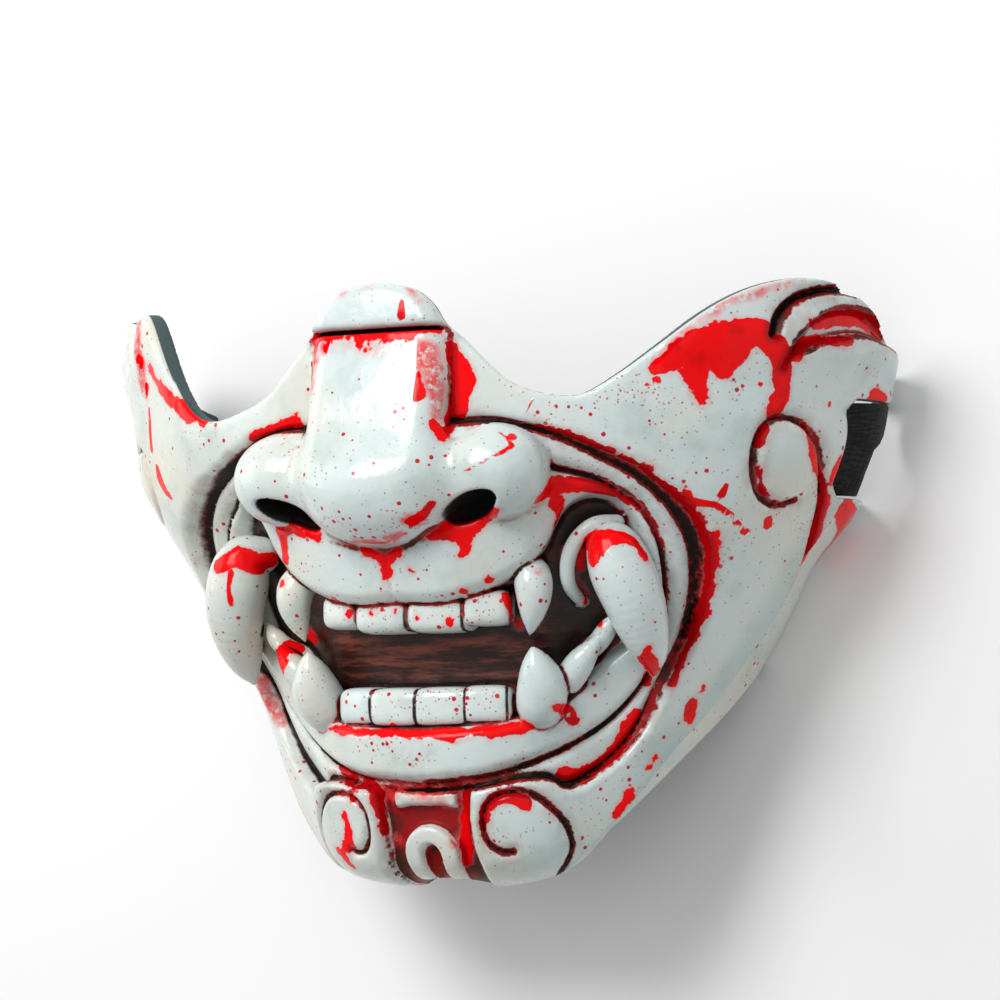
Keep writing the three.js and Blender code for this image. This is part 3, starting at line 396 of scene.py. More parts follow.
def seam_depth(w, y):
    """Millimetres inside the dark paint along the carved lines, negative beside it."""
    seams = [half - distance_to_line(w, y, LINES[name]) for name, half in SEAMS.items()]
    from_fold = np.abs(depth_in(w, y, LINES["outer_fold"]) - OUTER_SEAM["offset"])
    return np.maximum.reduce([*seams, OUTER_SEAM["half"] - from_fold])


def well_depth(w, y, height):
    """Millimetres into the sunk field of the chin, negative on its raised parts and outside it."""
    return np.minimum(depth_in(w, y, LINES["chin_field"]) + 0.3, -height - 0.9)


def seam_narrowing(x, w, y):
    """How much narrower the dark paint is below the cheeks and on the right half."""
    below = rise(w, 40, 55) * rise(-y, 12, 26)
    beside_nose = rise(w, 50, 60) * rise(y, 0, 10)
    lower_cheek = rise(w, 50, 62) * rise(-y, 5, 18)
    return np.where(x < 0, 0.4 + 1.2 * below + 0.3 * beside_nose, 0.35 * lower_cheek)


def fine_carving(w, y):
    philtrum = edge_roll(w, PHILTRUM["half_width"], PHILTRUM["depth"]) * rise(-y, -12, -8) * rise(y, -1, 1)
    spread = (1 - rise(np.abs(y - LIP_WRINKLES["y"]), 1, LIP_WRINKLES["half_height"]))
    spread = spread * (1 - rise(w, 5, LIP_WRINKLES["half_width"]))
    stripes = 0.5 + 0.5 * np.cos(2 * np.pi * w / LIP_WRINKLES["pitch"])
    grooves = sum(edge_roll(distance_to_line(w, y, LINES[name]), half, depth)
                  for name, (half, depth) in FOLD_GROOVES.items())
    return -philtrum - grooves - LIP_WRINKLES["depth"] * spread * stripes


def relief_at(w, y):
    chin_block = CHIN_BLOCK_HEIGHT * (1 - rise(w, 34, 62)) * rise(-y, 32, 43)
    height = chin_block + nose_cap(w, y) + swelling(w, y, *CHEEK_SWELL)
    at_ear = (w > EAR_FROM["w"]) & (y > EAR_FROM["y"])
    height = height + np.where(at_ear, ear_folds(w, y), 0)
    beyond_jaw = depth_in(w, y, JAW_BAND)
    height = height + jaw_fade(y) * JAW_STEP["lip"] * np.exp(-((beyond_jaw / 4) ** 2))
    drop = JAW_STEP["drop"] + JAW_STEP["lip"]
    height = height - jaw_fade(y) * drop * rise(beyond_jaw, -0.4, 1.2)
    height = fold_and_lips(w, y, height)
    chin = chin_centre(w, y, height) - groove_along(w, y, LINES["chin_spiral"])
    return np.where(y < CHIN_TOP_Y, chin, height) + fine_carving(w, y)


def wall_depth(w, y):
    """Depth of the wall's back below the bare face."""
    behind_mouth = rise(depth_in(w, y, LINES["mouth"]), -7, 0) * -mouth_floor(w)
    behind_fold = EXTRA_WALL["fold"] * rise(depth_in(w, y, LINES["outer_fold"]), -4, 3) * rise(w, 30, 56)
    behind_chin = EXTRA_WALL["chin"] * rise(-y, 40, 50) * (1 - rise(w, 16, 30))
    behind_jaw = JAW_STEP["drop"] * jaw_fade(y) * rise(depth_in(w, y, JAW_BAND), -4, 4)
    deepest = np.maximum.reduce([behind_mouth, behind_fold, behind_chin, behind_jaw])
    return WALL + deepest - web_height(w, y)


# Signed distances of the nose, teeth and horns. Points are arrays of x, y and z.
def ellipsoid(x, y, z, centre, radii):
    offset = [x - centre[0], y - centre[1], z - centre[2]]
    scaled = np.sqrt(sum((o / r) ** 2 for o, r in zip(offset, radii)))
    slope = np.sqrt(sum((o / r ** 2) ** 2 for o, r in zip(offset, radii)))
    return scaled * (scaled - 1) / np.maximum(slope, 1e-6)


def bridge(x, y, z):
    front = BRIDGE["front_at_top"] + (BRIDGE["top_y"] - y) * BRIDGE["slope"]
    side = np.abs(x) - BRIDGE["half_width"] + BRIDGE["edge"]
    depth = np.abs(z - front + BRIDGE["half_depth"]) - BRIDGE["half_depth"] + BRIDGE["edge"]
    corner = np.hypot(np.maximum(side, 0), np.maximum(depth, 0))
    rounded = corner + np.minimum(np.maximum(side, depth), 0) - BRIDGE["edge"]
    return smooth_max(np.maximum(rounded, y - BRIDGE["top_y"]), BRIDGE["bottom_y"] - y, BRIDGE_FOOT_BLEND)


def nose(x, y, z):
    wing = ellipsoid(np.abs(x), y, z, *NOSE_WING)
    tip = ellipsoid(x, y, z, *NOSE_TIP)
    return smooth_min(smooth_min(tip, wing, NOSE_BLEND), bridge(x, y, z), NOSE_BLEND)


def nostril(x, y, z):
    """Distance to the wearer's left nostril."""
    tilt = math.radians(NOSTRIL["tilt"])
    lift = math.radians(NOSTRIL["rise"])
    dx = x - NOSTRIL["centre"][0]
    dy = y - NOSTRIL["centre"][1]
    dz = z - NOSTRIL["centre"][2]
    dy, dz = dy * math.cos(lift) + dz * math.sin(lift), dz * math.cos(lift) - dy * math.sin(lift)
    dx, dy = dx * math.cos(tilt) + dy * math.sin(tilt), dy * math.cos(tilt) - dx * math.sin(tilt)
    return ellipsoid(dx, dy, dz, (0, 0, 0), NOSTRIL["radii"])


def on_face(w, y, raised):
    return place_at(w, y, bare_radius(w, y) + raised)


def tooth(x, y, z, at, half, raised):
    centre = on_face(at[0], at[1], raised)
    angle = at[0] / ARC_RADIUS
    dx, dy, dz = x - centre[0], y - centre[1], z - centre[2]
    across = (dx * math.cos(angle) - dz * math.sin(angle)) / half[0]
    out = (dx * math.sin(angle) + dz * math.cos(angle)) / half[2]
    total = np.abs(across) ** TOOTH_POWER + np.abs(dy / half[1]) ** TOOTH_POWER + np.abs(out) ** TOOTH_POWER
    return (total ** (1 / TOOTH_POWER) - 1) * min(half)


def horn_points(name):
    """Centres and radii along a horn."""
    path = np.array(HORNS[name], float)
    centres = on_face(path[:, 0], path[:, 1], path[:, 2])
    return spline(np.column_stack([centres, path[:, 3]]), 4)


def capsules(x, y, z, points):
    """Distance to a chain of balls of changing size."""
    nearest = np.full(x.shape, 1e9)
    for a, b in zip(points[:-1], points[1:]):
        run = b[:3] - a[:3]
        t = ((x - a[0]) * run[0] + (y - a[1]) * run[1] + (z - a[2]) * run[2]) / max(run @ run, 1e-9)
        t = clamp01(t)
        gap = np.sqrt((x - a[0] - t * run[0]) ** 2 + (y - a[1] - t * run[1]) ** 2
                      + (z - a[2] - t * run[2]) ** 2)
        nearest = np.minimum(nearest, gap - mix(a[3], b[3], t))
    return nearest


HORN_POINTS = {name: horn_points(name) for name in HORNS}


def near(x, y, z, centre, reach):
    return (np.abs(x - centre[0]) < reach) & (np.abs(y - centre[1]) < reach) & (np.abs(z - centre[2]) < reach)


def teeth_and_horns(x, y, z):
    """Distance to the nearest tooth or horn, far away from them a large number."""
    result = np.full(x.shape, 50.0)
    for at, half, raised in TEETH:
        across = np.abs(x - UPPER_TEETH_SHIFT) if at[1] > MOUTH_MIDDLE_Y else np.abs(x)
        mask = near(across, y, z, on_face(at[0], at[1], raised), max(half) + 3)
        result[mask] = np.minimum(result[mask], tooth(across[mask], y[mask], z[mask], at, half, raised))
    for name, points in HORN_POINTS.items():
        side = x if name in ONE_SIDED else np.abs(x)
        low = points[:, :3].min(0)
        high = points[:, :3].max(0)
        mask = near(side, y, z, (low + high) / 2, (high - low).max() / 2 + points[:, 3].max() + 3)
        result[mask] = np.minimum(result[mask], capsules(side[mask], y[mask], z[mask], points))
    return result


# Maps over one half of the face, read back by arc length and height.
def map_grid():
    w = np.arange(MAP_W[0], MAP_W[1], MAP_STEP)
    y = np.arange(MAP_Y[0], MAP_Y[1], MAP_STEP)
    return np.meshgrid(w, y, indexing="ij")


def outline_loop():
    top = [*spline(TOP_EDGE, 5), [118, 51.2], [140, 40]]
    bottom = [[140, -5], [121, -17], *spline(BOTTOM_EDGE, 5)]
    return np.array([[-20, 71.5], *top, *NOTCH, *bottom, [-20, -64]])


def lowest_nearby(values, reach):
    """Lowest value within a reach, in map steps, then smoothed over the same reach."""
    for axis in (0, 1):
        shifts = [np.roll(values, step, axis) for step in range(-reach, reach + 1)]
        values = np.minimum.reduce(shifts)
    for axis in (0, 1):
        values = sum(np.roll(values, step, axis) for step in range(-reach, reach + 1)) / (2 * reach + 1)
    return values


def make_maps():
    w, y = map_grid()
    side = np.abs(w)
    outer = bare_radius(side, y) + relief_at(side, y)
    inner = bare_radius(side, y) - wall_depth(side, y)
    thick_enough = lowest_nearby(outer, round(THIN_REACH / MAP_STEP)) - THINNEST_WALL
    return {
        "outer": outer,
        "inner": np.minimum(inner, thick_enough),
        "edge": depth_in(w, y, outline_loop()),
        "mouth": depth_in(side, y, LINES["mouth"]),
        "seam": seam_depth(side, y),
        "well": well_depth(side, y, outer - bare_radius(side, y)),
    }


MAPS = make_maps()


def read_map(name, w, y):
    values = MAPS[name]
    a = np.clip((w - MAP_W[0]) / MAP_STEP, 0, values.shape[0] - 1.001)
    b = np.clip((y - MAP_Y[0]) / MAP_STEP, 0, values.shape[1] - 1.001)
    i = a.astype(int)
    j = b.astype(int)
    a = a - i
    b = b - j
    return ((values[i, j] * (1 - a) + values[i + 1, j] * a) * (1 - b)
            + (values[i, j + 1] * (1 - a) + values[i + 1, j + 1] * a) * b)


def right_rim_shift(w, y):
    dip = RIGHT_DIP["depth"] * np.exp(-(((w - RIGHT_DIP["at"]) / RIGHT_DIP["width"]) ** 2))
    climb = RIGHT_CLIMB["height"] * np.exp(-(((w - RIGHT_CLIMB["at"]) / RIGHT_CLIMB["width"]) ** 2))
    return (climb - dip) * rise(y, 26, 48)


def face_place(x, y, z):
    """Arc length, height on the unshifted face, and radius of points."""
    w = np.arctan2(np.abs(x), z - AXIS_Z) * ARC_RADIUS
    flat_y = y
    for _ in range(3):
        flat_y = np.where(x < 0, y - right_rim_shift(w, flat_y), y)
    return w, flat_y, np.hypot(x, z - AXIS_Z)


def mask_field(x, y, z):
    """Negative inside the mask, zero on its surface."""
    w, flat_y, radius = face_place(x, y, z)
    front = radius - read_map("outer", w, flat_y)
    middle = (w < NOSE_REGION["w"]) & (y > NOSE_REGION["bottom"]) & (y < NOSE_REGION["top"])
    nx, ny, nz = x[middle], y[middle], z[middle]
    front[middle] = smooth_min(front[middle], nose(nx, ny, nz), BLENDS["nose"])
    front = smooth_min(front, teeth_and_horns(x, y, z), BLENDS["teeth"])
    front[middle] = smooth_max(front[middle], -nostril(np.abs(nx), ny, nz), BLENDS["nostril"])
    back = read_map("inner", w, flat_y) - radius
    behind = near(x, y, z, NOSE_HOLLOW[0], NOSE_HOLLOW_REACH)
    hollow = ellipsoid(x[behind], y[behind], z[behind], *NOSE_HOLLOW)
    back[behind] = smooth_max(back[behind], -hollow, BLENDS["hollow"])
    edge = -read_map("edge", w, flat_y) * radius / ARC_RADIUS
    solid = smooth_max(smooth_max(front, edge, BLENDS["rim"]), back, BLENDS["rim"])
    return np.maximum(solid, REAR_PLANE_Z - z)


# Surface of the field as quads, by surface nets on a grid.
def grid_axes():
    x = np.arange(*GRID["x"], CELL)
    y = np.arange(*GRID["y"], CELL)
    z = REAR_PLANE_Z - CELL / 2 + CELL * np.arange(int(GRID["deep"] / CELL))
    return x, y, z


def sample_volume(axes):
    x, y, z = axes
    gx, gy = np.meshgrid(x, y, indexing="ij")
    volume = np.empty((len(x), len(y), len(z)), np.float32)
    for k, height in enumerate(z):
        volume[:, :, k] = mask_field(gx, gy, np.full(gx.shape, height))
    return volume


def corner(volume, i, j, k):
    nx, ny, nz = volume.shape
    return volume[i:nx - 1 + i, j:ny - 1 + j, k:nz - 1 + k]


def net_vertices(volume, axes):
    corners = [(i, j, k) for i in (0, 1) for j in (0, 1) for k in (0, 1)]
    negative = sum((corner(volume, *c) < 0).astype(np.int8) for c in corners)
    cells = np.argwhere((negative > 0) & (negative < 8))
    values = {c: volume[tuple((cells + c).T)] for c in corners}
    total = np.zeros((len(cells), 3))
    count = np.zeros(len(cells))
    for start in corners:
        for axis in range(3):
            if start[axis]:
                continue
            end = tuple(1 if n == axis else start[n] for n in range(3))
            cut = (values[start] < 0) != (values[end] < 0)
            t = values[start] / np.where(cut, values[start] - values[end], 1)
            place = np.array(start, float)[None, :] + np.zeros((len(cells), 3))
            place[:, axis] = t
            total[cut] += place[cut]
            count[cut] += 1
    local = total / count[:, None]
    origin = np.array([a[0] for a in axes])
    index = np.full(np.array(volume.shape) - 1, -1, np.int32)
    index[tuple(cells.T)] = np.arange(len(cells))
    return origin + (cells + local) * CELL, index


def net_quads(volume, index):
    quads = []
    for axis in range(3):
        u, v = [n for n in range(3) if n != axis]
        lower = [slice(1, -1)] * 3
        upper = [slice(1, -1)] * 3
        lower[axis] = slice(0, -1)
        upper[axis] = slice(1, None)
        a = volume[tuple(lower)] < 0
        b = volume[tuple(upper)] < 0
        cells = np.argwhere(a != b)
        solid_first = a[tuple(cells.T)]
        start = cells.copy()
        start[:, u] += 1
        start[:, v] += 1
        ring = []
        for du, dv in ((-1, -1), (0, -1), (0, 0), (-1, 0)):
            place = start.copy()
            place[:, u] += du
            place[:, v] += dv
            ring.append(index[tuple(place.T)])
        quad = np.stack(ring, 1)
        forward = solid_first if axis != 1 else ~solid_first
        quads.append(np.where(forward[:, None], quad, quad[:, ::-1]))
    return np.vstack(quads)


def field_slope(points, step=0.15):
    slopes = []
    for axis in range(3):
        shift = np.zeros(3)
        shift[axis] = step
        ahead = mask_field(*(points + shift).T)
        behind = mask_field(*(points - shift).T)
        slopes.append((ahead - behind) / (2 * step))
    return np.stack(slopes, 1)


def settle(points, rounds=2):
    """Moves the points on to the field's zero surface."""
    for _ in range(rounds):
        slope = field_slope(points)
        steep = np.maximum((slope ** 2).sum(1), 0.05)
        move = -mask_field(*points.T)[:, None] * slope / steep[:, None]
        points = points + np.clip(move, -CELL / 2, CELL / 2)
    return points


def blurred(volume, cells):
    """Average over the cube of cells around each cell."""
    for axis in (0, 1, 2):
        total = np.cumsum(volume, axis=axis, dtype=np.float32)
        ahead = np.roll(total, -cells, axis=axis)
        behind = np.roll(total, cells + 1, axis=axis)
        volume = (ahead - behind) / (2 * cells + 1)
    return volume


def sample_at(volume, axes, points):
    place = np.stack([(points[:, n] - axes[n][0]) / CELL for n in range(3)])
    base = np.clip(place.astype(int), 0, np.array(volume.shape)[:, None] - 2)
    share = np.clip(place - base, 0, 1)
    result = 0
    for i in (0, 1):
        for j in (0, 1):
            for k in (0, 1):
                weight = np.abs(1 - i - share[0]) * np.abs(1 - j - share[1]) * np.abs(1 - k - share[2])
                result = result + weight * volume[base[0] + i, base[1] + j, base[2] + k]
    return result


def crowding(volume, axes, points, reach):
    """Share of the space around each point that is solid: 0.5 on a flat face, more in a groove."""
    cells = max(1, round(reach / CELL))
    solid = np.clip(0.5 - volume / CELL, 0, 1)
    pad = cells + 2
    solid = np.pad(solid, pad)
    soft = blurred(solid, cells)[pad:-pad, pad:-pad, pad:-pad]
    return sample_at(soft, axes, points)


# Paint, as strokes: arc length, height and half width at each point. Arc lengths are negative
# on the mask's right half. BLOOD is the thick red with ragged edges, THIN_RUNS its narrow runs,
# WASH the thin red film, DARK_FILM_STROKES a dark brown film under the nose and SPATTER where specks are
# dense.
BLOOD = {
    "crease": [
        [(-17.5, 60, 0.6), (-10.5, 59.3, 0.6), (-7, 58.8, 1.1), (-3, 59.3, 0.6), (1.5, 59.6, 0.4),
         (6.5, 59.3, 0.5), (11.5, 59.6, 0.5), (15, 60, 0.5)],
    ],
    "crease_drips": [
        [(-15.4, 59, 1.2), (-15.8, 53, 0.8), (-16, 48, 0.5)], [(-10.5, 57, 1)], [(-5.5, 56.5, 1)],
        [(7.5, 58, 0.5), (8, 54.5, 0.3)], [(11.5, 49, 0.5), (12, 45.5, 1)],
    ],
    "bridge_right": [
        [(18, 56.5, 0.5), (19.5, 53, 1.5), (21, 48, 2.5), (20, 44, 2), (18.5, 41, 1.5), (18, 37.5, 1)],
        [(16.5, 36.5, 1.5), (15, 38.5, 0.5)],
    ],
    "nose_left": [[(-37.5, 38.5, 0.5), (-33, 39.5, 1), (-28.5, 40.5, 1), (-23.5, 41, 1.5)]],
    "lip_right": [
        [(37.5, 22, 1.5), (40.5, 24.5, 2), (43.5, 25, 1.5), (48, 25, 1), (53, 23.5, 1), (58, 22, 0.5),
         (61, 20, 0.5)],
        [(41.5, 21, 1.5), (42, 16.5, 0.5)],
    ],
    "nostril_right": [
        [(12, 14, 1), (16.5, 14.8, 2), (21.5, 16, 2), (25.5, 17.5, 1.5), (27.5, 19, 1)],
        [(20, 11.5, 1), (19, 10, 0.5)], [(10.5, 17, 1), (12.5, 18.5, 1), (14.5, 20.5, 0.5)],
    ],
    "nostril_left": [
        [(-32.5, 16.5, 1.2), (-32, 14, 1.4), (-33, 10.5, 1.3)],
        [(-31, 17, 1), (-26, 17, 1.2), (-22, 16.5, 1.3), (-18, 15, 0.8)],
    ],
    "philtrum": [
        [(-5, 11.5, 1), (-2, 10, 1), (-0.5, 8.5, 1.5), (-0.5, 6, 1)], [(-0.5, 8.5, 1), (3.5, 10.5, 0.5)],
        [(-0.5, 6, 0.3), (-2, -0.5, 0.3)],
    ],
    "tusk_left": [
        [(-52.5, 9.5, 1.6), (-50, 11.2, 2.2), (-48, 9.2, 1.6)],
        [(-50.5, 11, 1.2), (-49, 9.6, 1.3), (-48.6, 7.6, 0.8)],
    ],
    "tusk_right": [
        [(48.5, 9.5, 2.4), (51, 12.5, 2.2), (54.5, 13, 1.8), (57.5, 11.5, 1.5), (59.5, 8.5, 1)],
        [(49, 9, 2), (50.5, 12.5, 1.5), (53, 14, 1), (54.5, 12.5, 1)],
        [(50.5, 10.5, 1), (50, 2, 1), (54.5, -6.5, 0.5)],
    ],
    "cheek_splash": [
        [(63, 52, 2.5), (66.5, 54, 4), (70, 55, 5), (73, 56, 4)],
        [(66.5, 52, 3), (66.5, 48, 2), (68, 44, 1)],
        [(59.5, 50, 1), (63, 52, 2), (66, 54.5, 3), (69.5, 55.5, 4), (73.5, 57, 3.5), (77, 58, 2.5),
         (80, 55.5, 2.5), (81.5, 52, 2), (82, 47.5, 2), (82, 43, 2), (81, 40, 1.5)],
        [(71.5, 50.5, 2.5), (73, 52, 2)], [(65.5, 48.5, 1.5), (67, 45.5, 1.5), (68, 42.5, 1)],
    ],
    "ear_spiral": [[(80, 36.5, 1), (79, 33, 0.5)], [(80, 27.5, 0.5), (82, 23, 0.5), (86, 20.5, 0.5)]],
    "behind_spiral": [
        [(88, 37, 0.7), (89.5, 31.5, 0.9), (95, 26, 1.3), (98.5, 21, 1.8), (100, 15.5, 1.9),
         (101.5, 11.5, 2), (104, 8, 1.8), (103, 4.5, 1.2)],
    ],
    "ear_leaf": [
        [(86.5, 60.5, 1), (93, 62, 1.5), (98.5, 63, 2), (103.5, 62, 2), (107.5, 59.5, 1)],
        [(83, 53.5, 1), (87, 56, 1), (91, 56.5, 1), (95.5, 57, 1)],
        [(84.5, 53, 1.5), (82.5, 52.5, 0.5), (81, 52.5, 0.5)],
    ],
    "rear_drop": [[(99, 33.5, 0.5), (98, 30.5, 1), (98, 27.5, 1), (98, 25, 0.5)]],
    "notch_above": [[(106.5, 45, 2), (109.5, 44.5, 1.5)]],
    "notch_below": [[(106, 19.5, 2.6), (112, 17.5, 3), (116, 13.5, 3), (117, 9, 2.2)]],
    "outer_groove": [
        [(58.2, 28.2, 0.4), (65, 22.8, 0.9), (70.4, 17, 1.1), (74.8, 10.2, 1.4), (77.4, 1.4, 1),
         (77.6, -5, 1.3), (77, -12, 0.7), (75, -20, 0.5)],
        [(33, 38.5, 0.5), (44, 35.8, 0.8), (52, 32.2, 0.5)], [(54.5, 30.6, 0.5), (59.5, 28, 0.5)],
        [(67, 22.5, 0.5), (70, 18, 0.5)], [(74.5, 13.5, 1), (76.5, 7, 1)],
        [(77, -1, 0.5), (77, -9.5, 0.5)],
    ],
    "drops": [
        [(-1, 71, 0.5)], [(6.5, 6.5, 0.5)], [(25.5, 4, 0.5)], [(19, 1.5, 0.5)], [(-36, 5, 0.5)],
        [(-18, 0.5, 0.5)], [(-15.5, -2.5, 0.5)], [(-7, -2.5, 0.5)], [(-1, -2.5, 0.5)], [(5.5, -4, 0.5)],
        [(14.5, -5.5, 0.5)],
    ],
    "flap_left": [
        [(-68, 51, 1), (-66.5, 49.5, 0.5), (-64.5, 49.5, 1.5), (-60.5, 50.5, 1.5), (-56, 50, 1.5),
         (-53.5, 49, 1), (-51, 47.5, 1), (-44.5, 44.5, 0.5)],
        [(-71.5, 54, 1.2)], [(-71, 47.5, 0.8), (-72, 45.5, 0.3)],
    ],
    "mouth_left": [[(-50.5, -7, 2), (-52, -13, 2.4), (-55, -17.5, 2)]],
    "lower_lip": [
        [(-34, -29, 0.5), (-19.5, -30, 0.5), (-5, -30, 1), (11.5, -30.5, 1), (26.5, -30, 1),
         (35.5, -29, 0.5)],
        [(-0.5, -31, 0.5)], [(12.5, -31.5, 0.5)], [(23.5, -31, 0.5)],
        [(41.5, -25, 0.5), (47, -25.5, 1), (48.5, -28, 1)],
    ],
    "tusk_tip": [[(62, -12.5, 1), (63, -15, 1.5), (67, -17.5, 1), (70.5, -19, 1)]],
    "jowl": [
        [(68.5, -27, 1), (67, -29.5, 1.5), (64.5, -34, 1.5), (60.5, -37.5, 2), (55, -40.5, 2),
         (50.5, -41, 1.5), (45.5, -40, 1)],
    ],
    "jaw_line": [
        [(82.5, -25, 1), (82, -28, 1)], [(84.5, -21, 0.5)], [(73.5, -36.5, 0.5), (71.5, -39, 0.5)],
        [(66.5, -45.5, 1), (64, -48, 1), (62, -49.5, 0.5)],
    ],
    "chin_left": [
        [(-35.5, -38, 0.5), (-30, -40.5, 1.5), (-25, -43.5, 1), (-21.5, -42, 1.5), (-16.5, -45.5, 1.5),
         (-16, -49, 1), (-16, -52.5, 1)],
        [(-30, -40.5, 1), (-25, -45.5, 0.5)],
    ],
    "chin_spiral_left": [
        [(-28.5, -49, 0.5), (-28, -52.5, 1), (-30, -56, 1), (-37.5, -57.5, 1), (-35, -59, 1),
         (-34, -61, 0.5)],
    ],
    "chin_spiral_right": [
        [(20.5, -51.5, 1), (21, -48, 1.5), (24.5, -45.5, 1.5), (29.5, -45, 1), (33.5, -46.5, 1)],
    ],
    "chin_side": [[(16, -42.5, 1), (13.5, -50.5, 1), (11.5, -59.5, 1)]],
    "fang_right": [[(29.5, -0.5, 1), (30.5, -4, 0.5), (33, -6, 0.5)]],
}
THIN_RUNS = {
    "flap_left": [
        [(-71.5, 43, 0.9), (-72.5, 40, 0.7), (-73, 36.5, 0.9)],
        [(-72, 33, 0.9), (-72, 31, 1.6), (-71, 28.5, 1.1), (-69, 26.5, 0.6)],
    ],
    "tusk_left": [[(-50.3, 8, 0.7), (-51.2, 3.5, 0.5), (-51.6, 0.8, 0.75)]],
    "beside_groove": [
        [(68.5, 20.6, 0.9), (73, 19.8, 0.75), (76, 18, 0.8), (80, 14.6, 0.75), (81.5, 13.6, 1.1)],
        [(73.6, 22.4, 1.2), (74.2, 24, 0.7)], [(85.3, 16.6, 1.1), (85.8, 15.4, 1.2)], [(78.2, 30, 0.7)],
    ],
    "bridge_drips": [
        [(-15.8, 53, 0.7), (-16, 47, 0.6)], [(8, 55, 0.8), (8.4, 50.5, 0.6)],
        [(11.6, 50, 0.7), (12, 45.5, 1)], [(7.4, 66.4, 0.7), (7.5, 63.4, 1)], [(10.6, 62.4, 0.5)],
    ],
    "cheek_drops": [
        [(78, 46.5, 0.8)], [(93.5, 42.5, 0.8)], [(79, -4, 0.7)], [(85, 2, 0.6)],
        [(60, 47.4, 0.8), (57.6, 46.6, 0.6)],
    ],
    "nose_and_cheek": [
        [(29, 36, 0.4), (31.5, 33, 0.5), (29.5, 31.5, 0.4), (26, 29.6, 0.35), (23, 28, 0.3),
         (21, 27.2, 0.25)],
        [(31.5, 35, 1)], [(31.5, 33, 0.3), (30.5, 26.5, 0.3)],
        [(36.5, 44, 0.3), (35, 41.5, 0.3), (33.5, 39, 0.3)],
    ],
}
WASH = {
    "bridge_wash": [
        [(-12, 57.5, 1.5), (-4, 57.5, 1.6), (3, 57, 2.6), (8, 55.5, 3.6), (12, 54, 4), (14.5, 51, 3),
         (15.5, 46, 2), (15.5, 41, 1.2)],
        [(-14, 55, 1), (-14.5, 48, 0.6)],
    ],
    "fang_wash": [[(37, 5.5, 0.5)]],
    "flap_wash": [[(-73, 63, 2.2), (-71.5, 58, 2.6), (-71.5, 52, 2.2), (-72.5, 48, 1.4)]],
    "mouth_wash": [[(-75, -18, 2.2), (-74, -21, 2.2), (-71.5, -27, 1.4)]],
    "cap_wash": [[(-8, 70, 1.4), (-3, 71.6, 1)], [(8.5, 69.6, 0.8), (11.5, 66.6, 0.6)]],
    "ear_edge": [[(59.5, 51.5, 0.5), (65, 58.5, 0.5), (72.5, 65, 0.5), (83.5, 69, 0.5)]],
    "nose_under": [
        [(-9, 13.5, 0.8), (-3, 13, 1.2), (2.5, 13, 1.8), (7, 14.4, 1.4)],
        [(10, 17.4, 1.6), (12.5, 16.6, 1)],
    ],
    "chin_field": [
        [(-15.5, -43.5, 2.5), (-1, -43.5, 2.5), (12, -46, 2)], [(-15.5, -55, 1.5)], [(9, -55, 1.5)],
    ],
}
# A dark brown film along the underside of the nose.
DARK_FILM_STROKES = {
    "under_nose": [
        [(-22, 15.6, 0.5), (-8, 12, 0.6), (0, 11, 0.8), (7, 12.4, 0.9), (12, 15, 1.3), (17, 17.2, 1.7),
         (22, 18.4, 1.4)],
    ],
}
SPATTER = {
    "nose_under": [[(-25.5, 19, 3), (-16, 18, 4), (-7, 16, 4), (2.5, 15, 4), (9.5, 17, 4)]],
    "cheek_rim": [
        [(36, 46, 1.5), (42, 44.5, 2), (49.5, 43.5, 2), (58.5, 46, 2.5)], [(38, 40, 2), (46, 39.5, 2)],
    ],
    "below_splash": [[(58, 44, 2), (66, 44, 3), (73, 44, 3)]],
    "below_groove": [[(71, 16.5, 2), (77.5, 7.5, 2.5), (78, 0, 1.5)]],
    "upper_lip": [[(12, 0, 2), (24, 1, 2)], [(-18, 1, 2)]],
    "lips": [[(-20, -33, 1.5), (0, -34.5, 2.5), (12, -36, 1.5)]],
    "fold_top": [[(42, 29, 2), (50, 27, 2)], [(68, 8, 2)]],
    "teeth": [[(-8, -4, 3), (8, -4, 3), (22, -3, 3)], [(-14, -24, 3), (8, -24, 3), (24, -24, 3)]],
}
PAINT = {"blood": BLOOD, "run": THIN_RUNS, "wash": WASH, "dark_film": DARK_FILM_STROKES, "spatter": SPATTER}


# Blender objects from points and faces.
def add_object(name, data):
    obj = bpy.data.objects.new(name, data)
    bpy.context.scene.collection.objects.link(obj)
    return obj


def shade_smooth(mesh):
    mesh.polygons.foreach_set("use_smooth", np.ones(len(mesh.polygons), bool))


def mesh_object(name, points, faces):
    """Object from an array of faces that all have the same number of corners."""
    mesh = bpy.data.meshes.new(name)
    placed = (points + FRAME_SHIFT) * MM
    mesh.vertices.add(len(points))
    mesh.vertices.foreach_set("co", placed.astype(np.float32).ravel())
    corners = faces.shape[1]
    mesh.loops.add(len(faces) * corners)
    mesh.loops.foreach_set("vertex_index", faces.astype(np.int32).ravel())
    mesh.polygons.add(len(faces))
    mesh.polygons.foreach_set("loop_start", np.arange(0, len(faces) * corners, corners, dtype=np.int32))
    mesh.update(calc_edges=True)
    mesh.validate()
    return add_object(name, mesh)


def set_attribute(obj, name, values):
    attribute = obj.data.attributes.new(name, "FLOAT", "POINT")
    attribute.data.foreach_set("value", values.astype(np.float32))


# The dressed mask: mesh, chart values and paint levels.
def surface_place(w, y):
    """Outermost point of the mask at a place on the face."""
    radii = np.arange(SCAN["from"], SCAN["to"], -SCAN["step"])
    side = abs(w)
    lifted = y + (float(right_rim_shift(side, y)) if w < 0 else 0)
    points = place_at(np.full(radii.shape, float(w)), lifted, radii)
    inside = mask_field(*points.T) < 0
    return points[np.argmax(inside)]


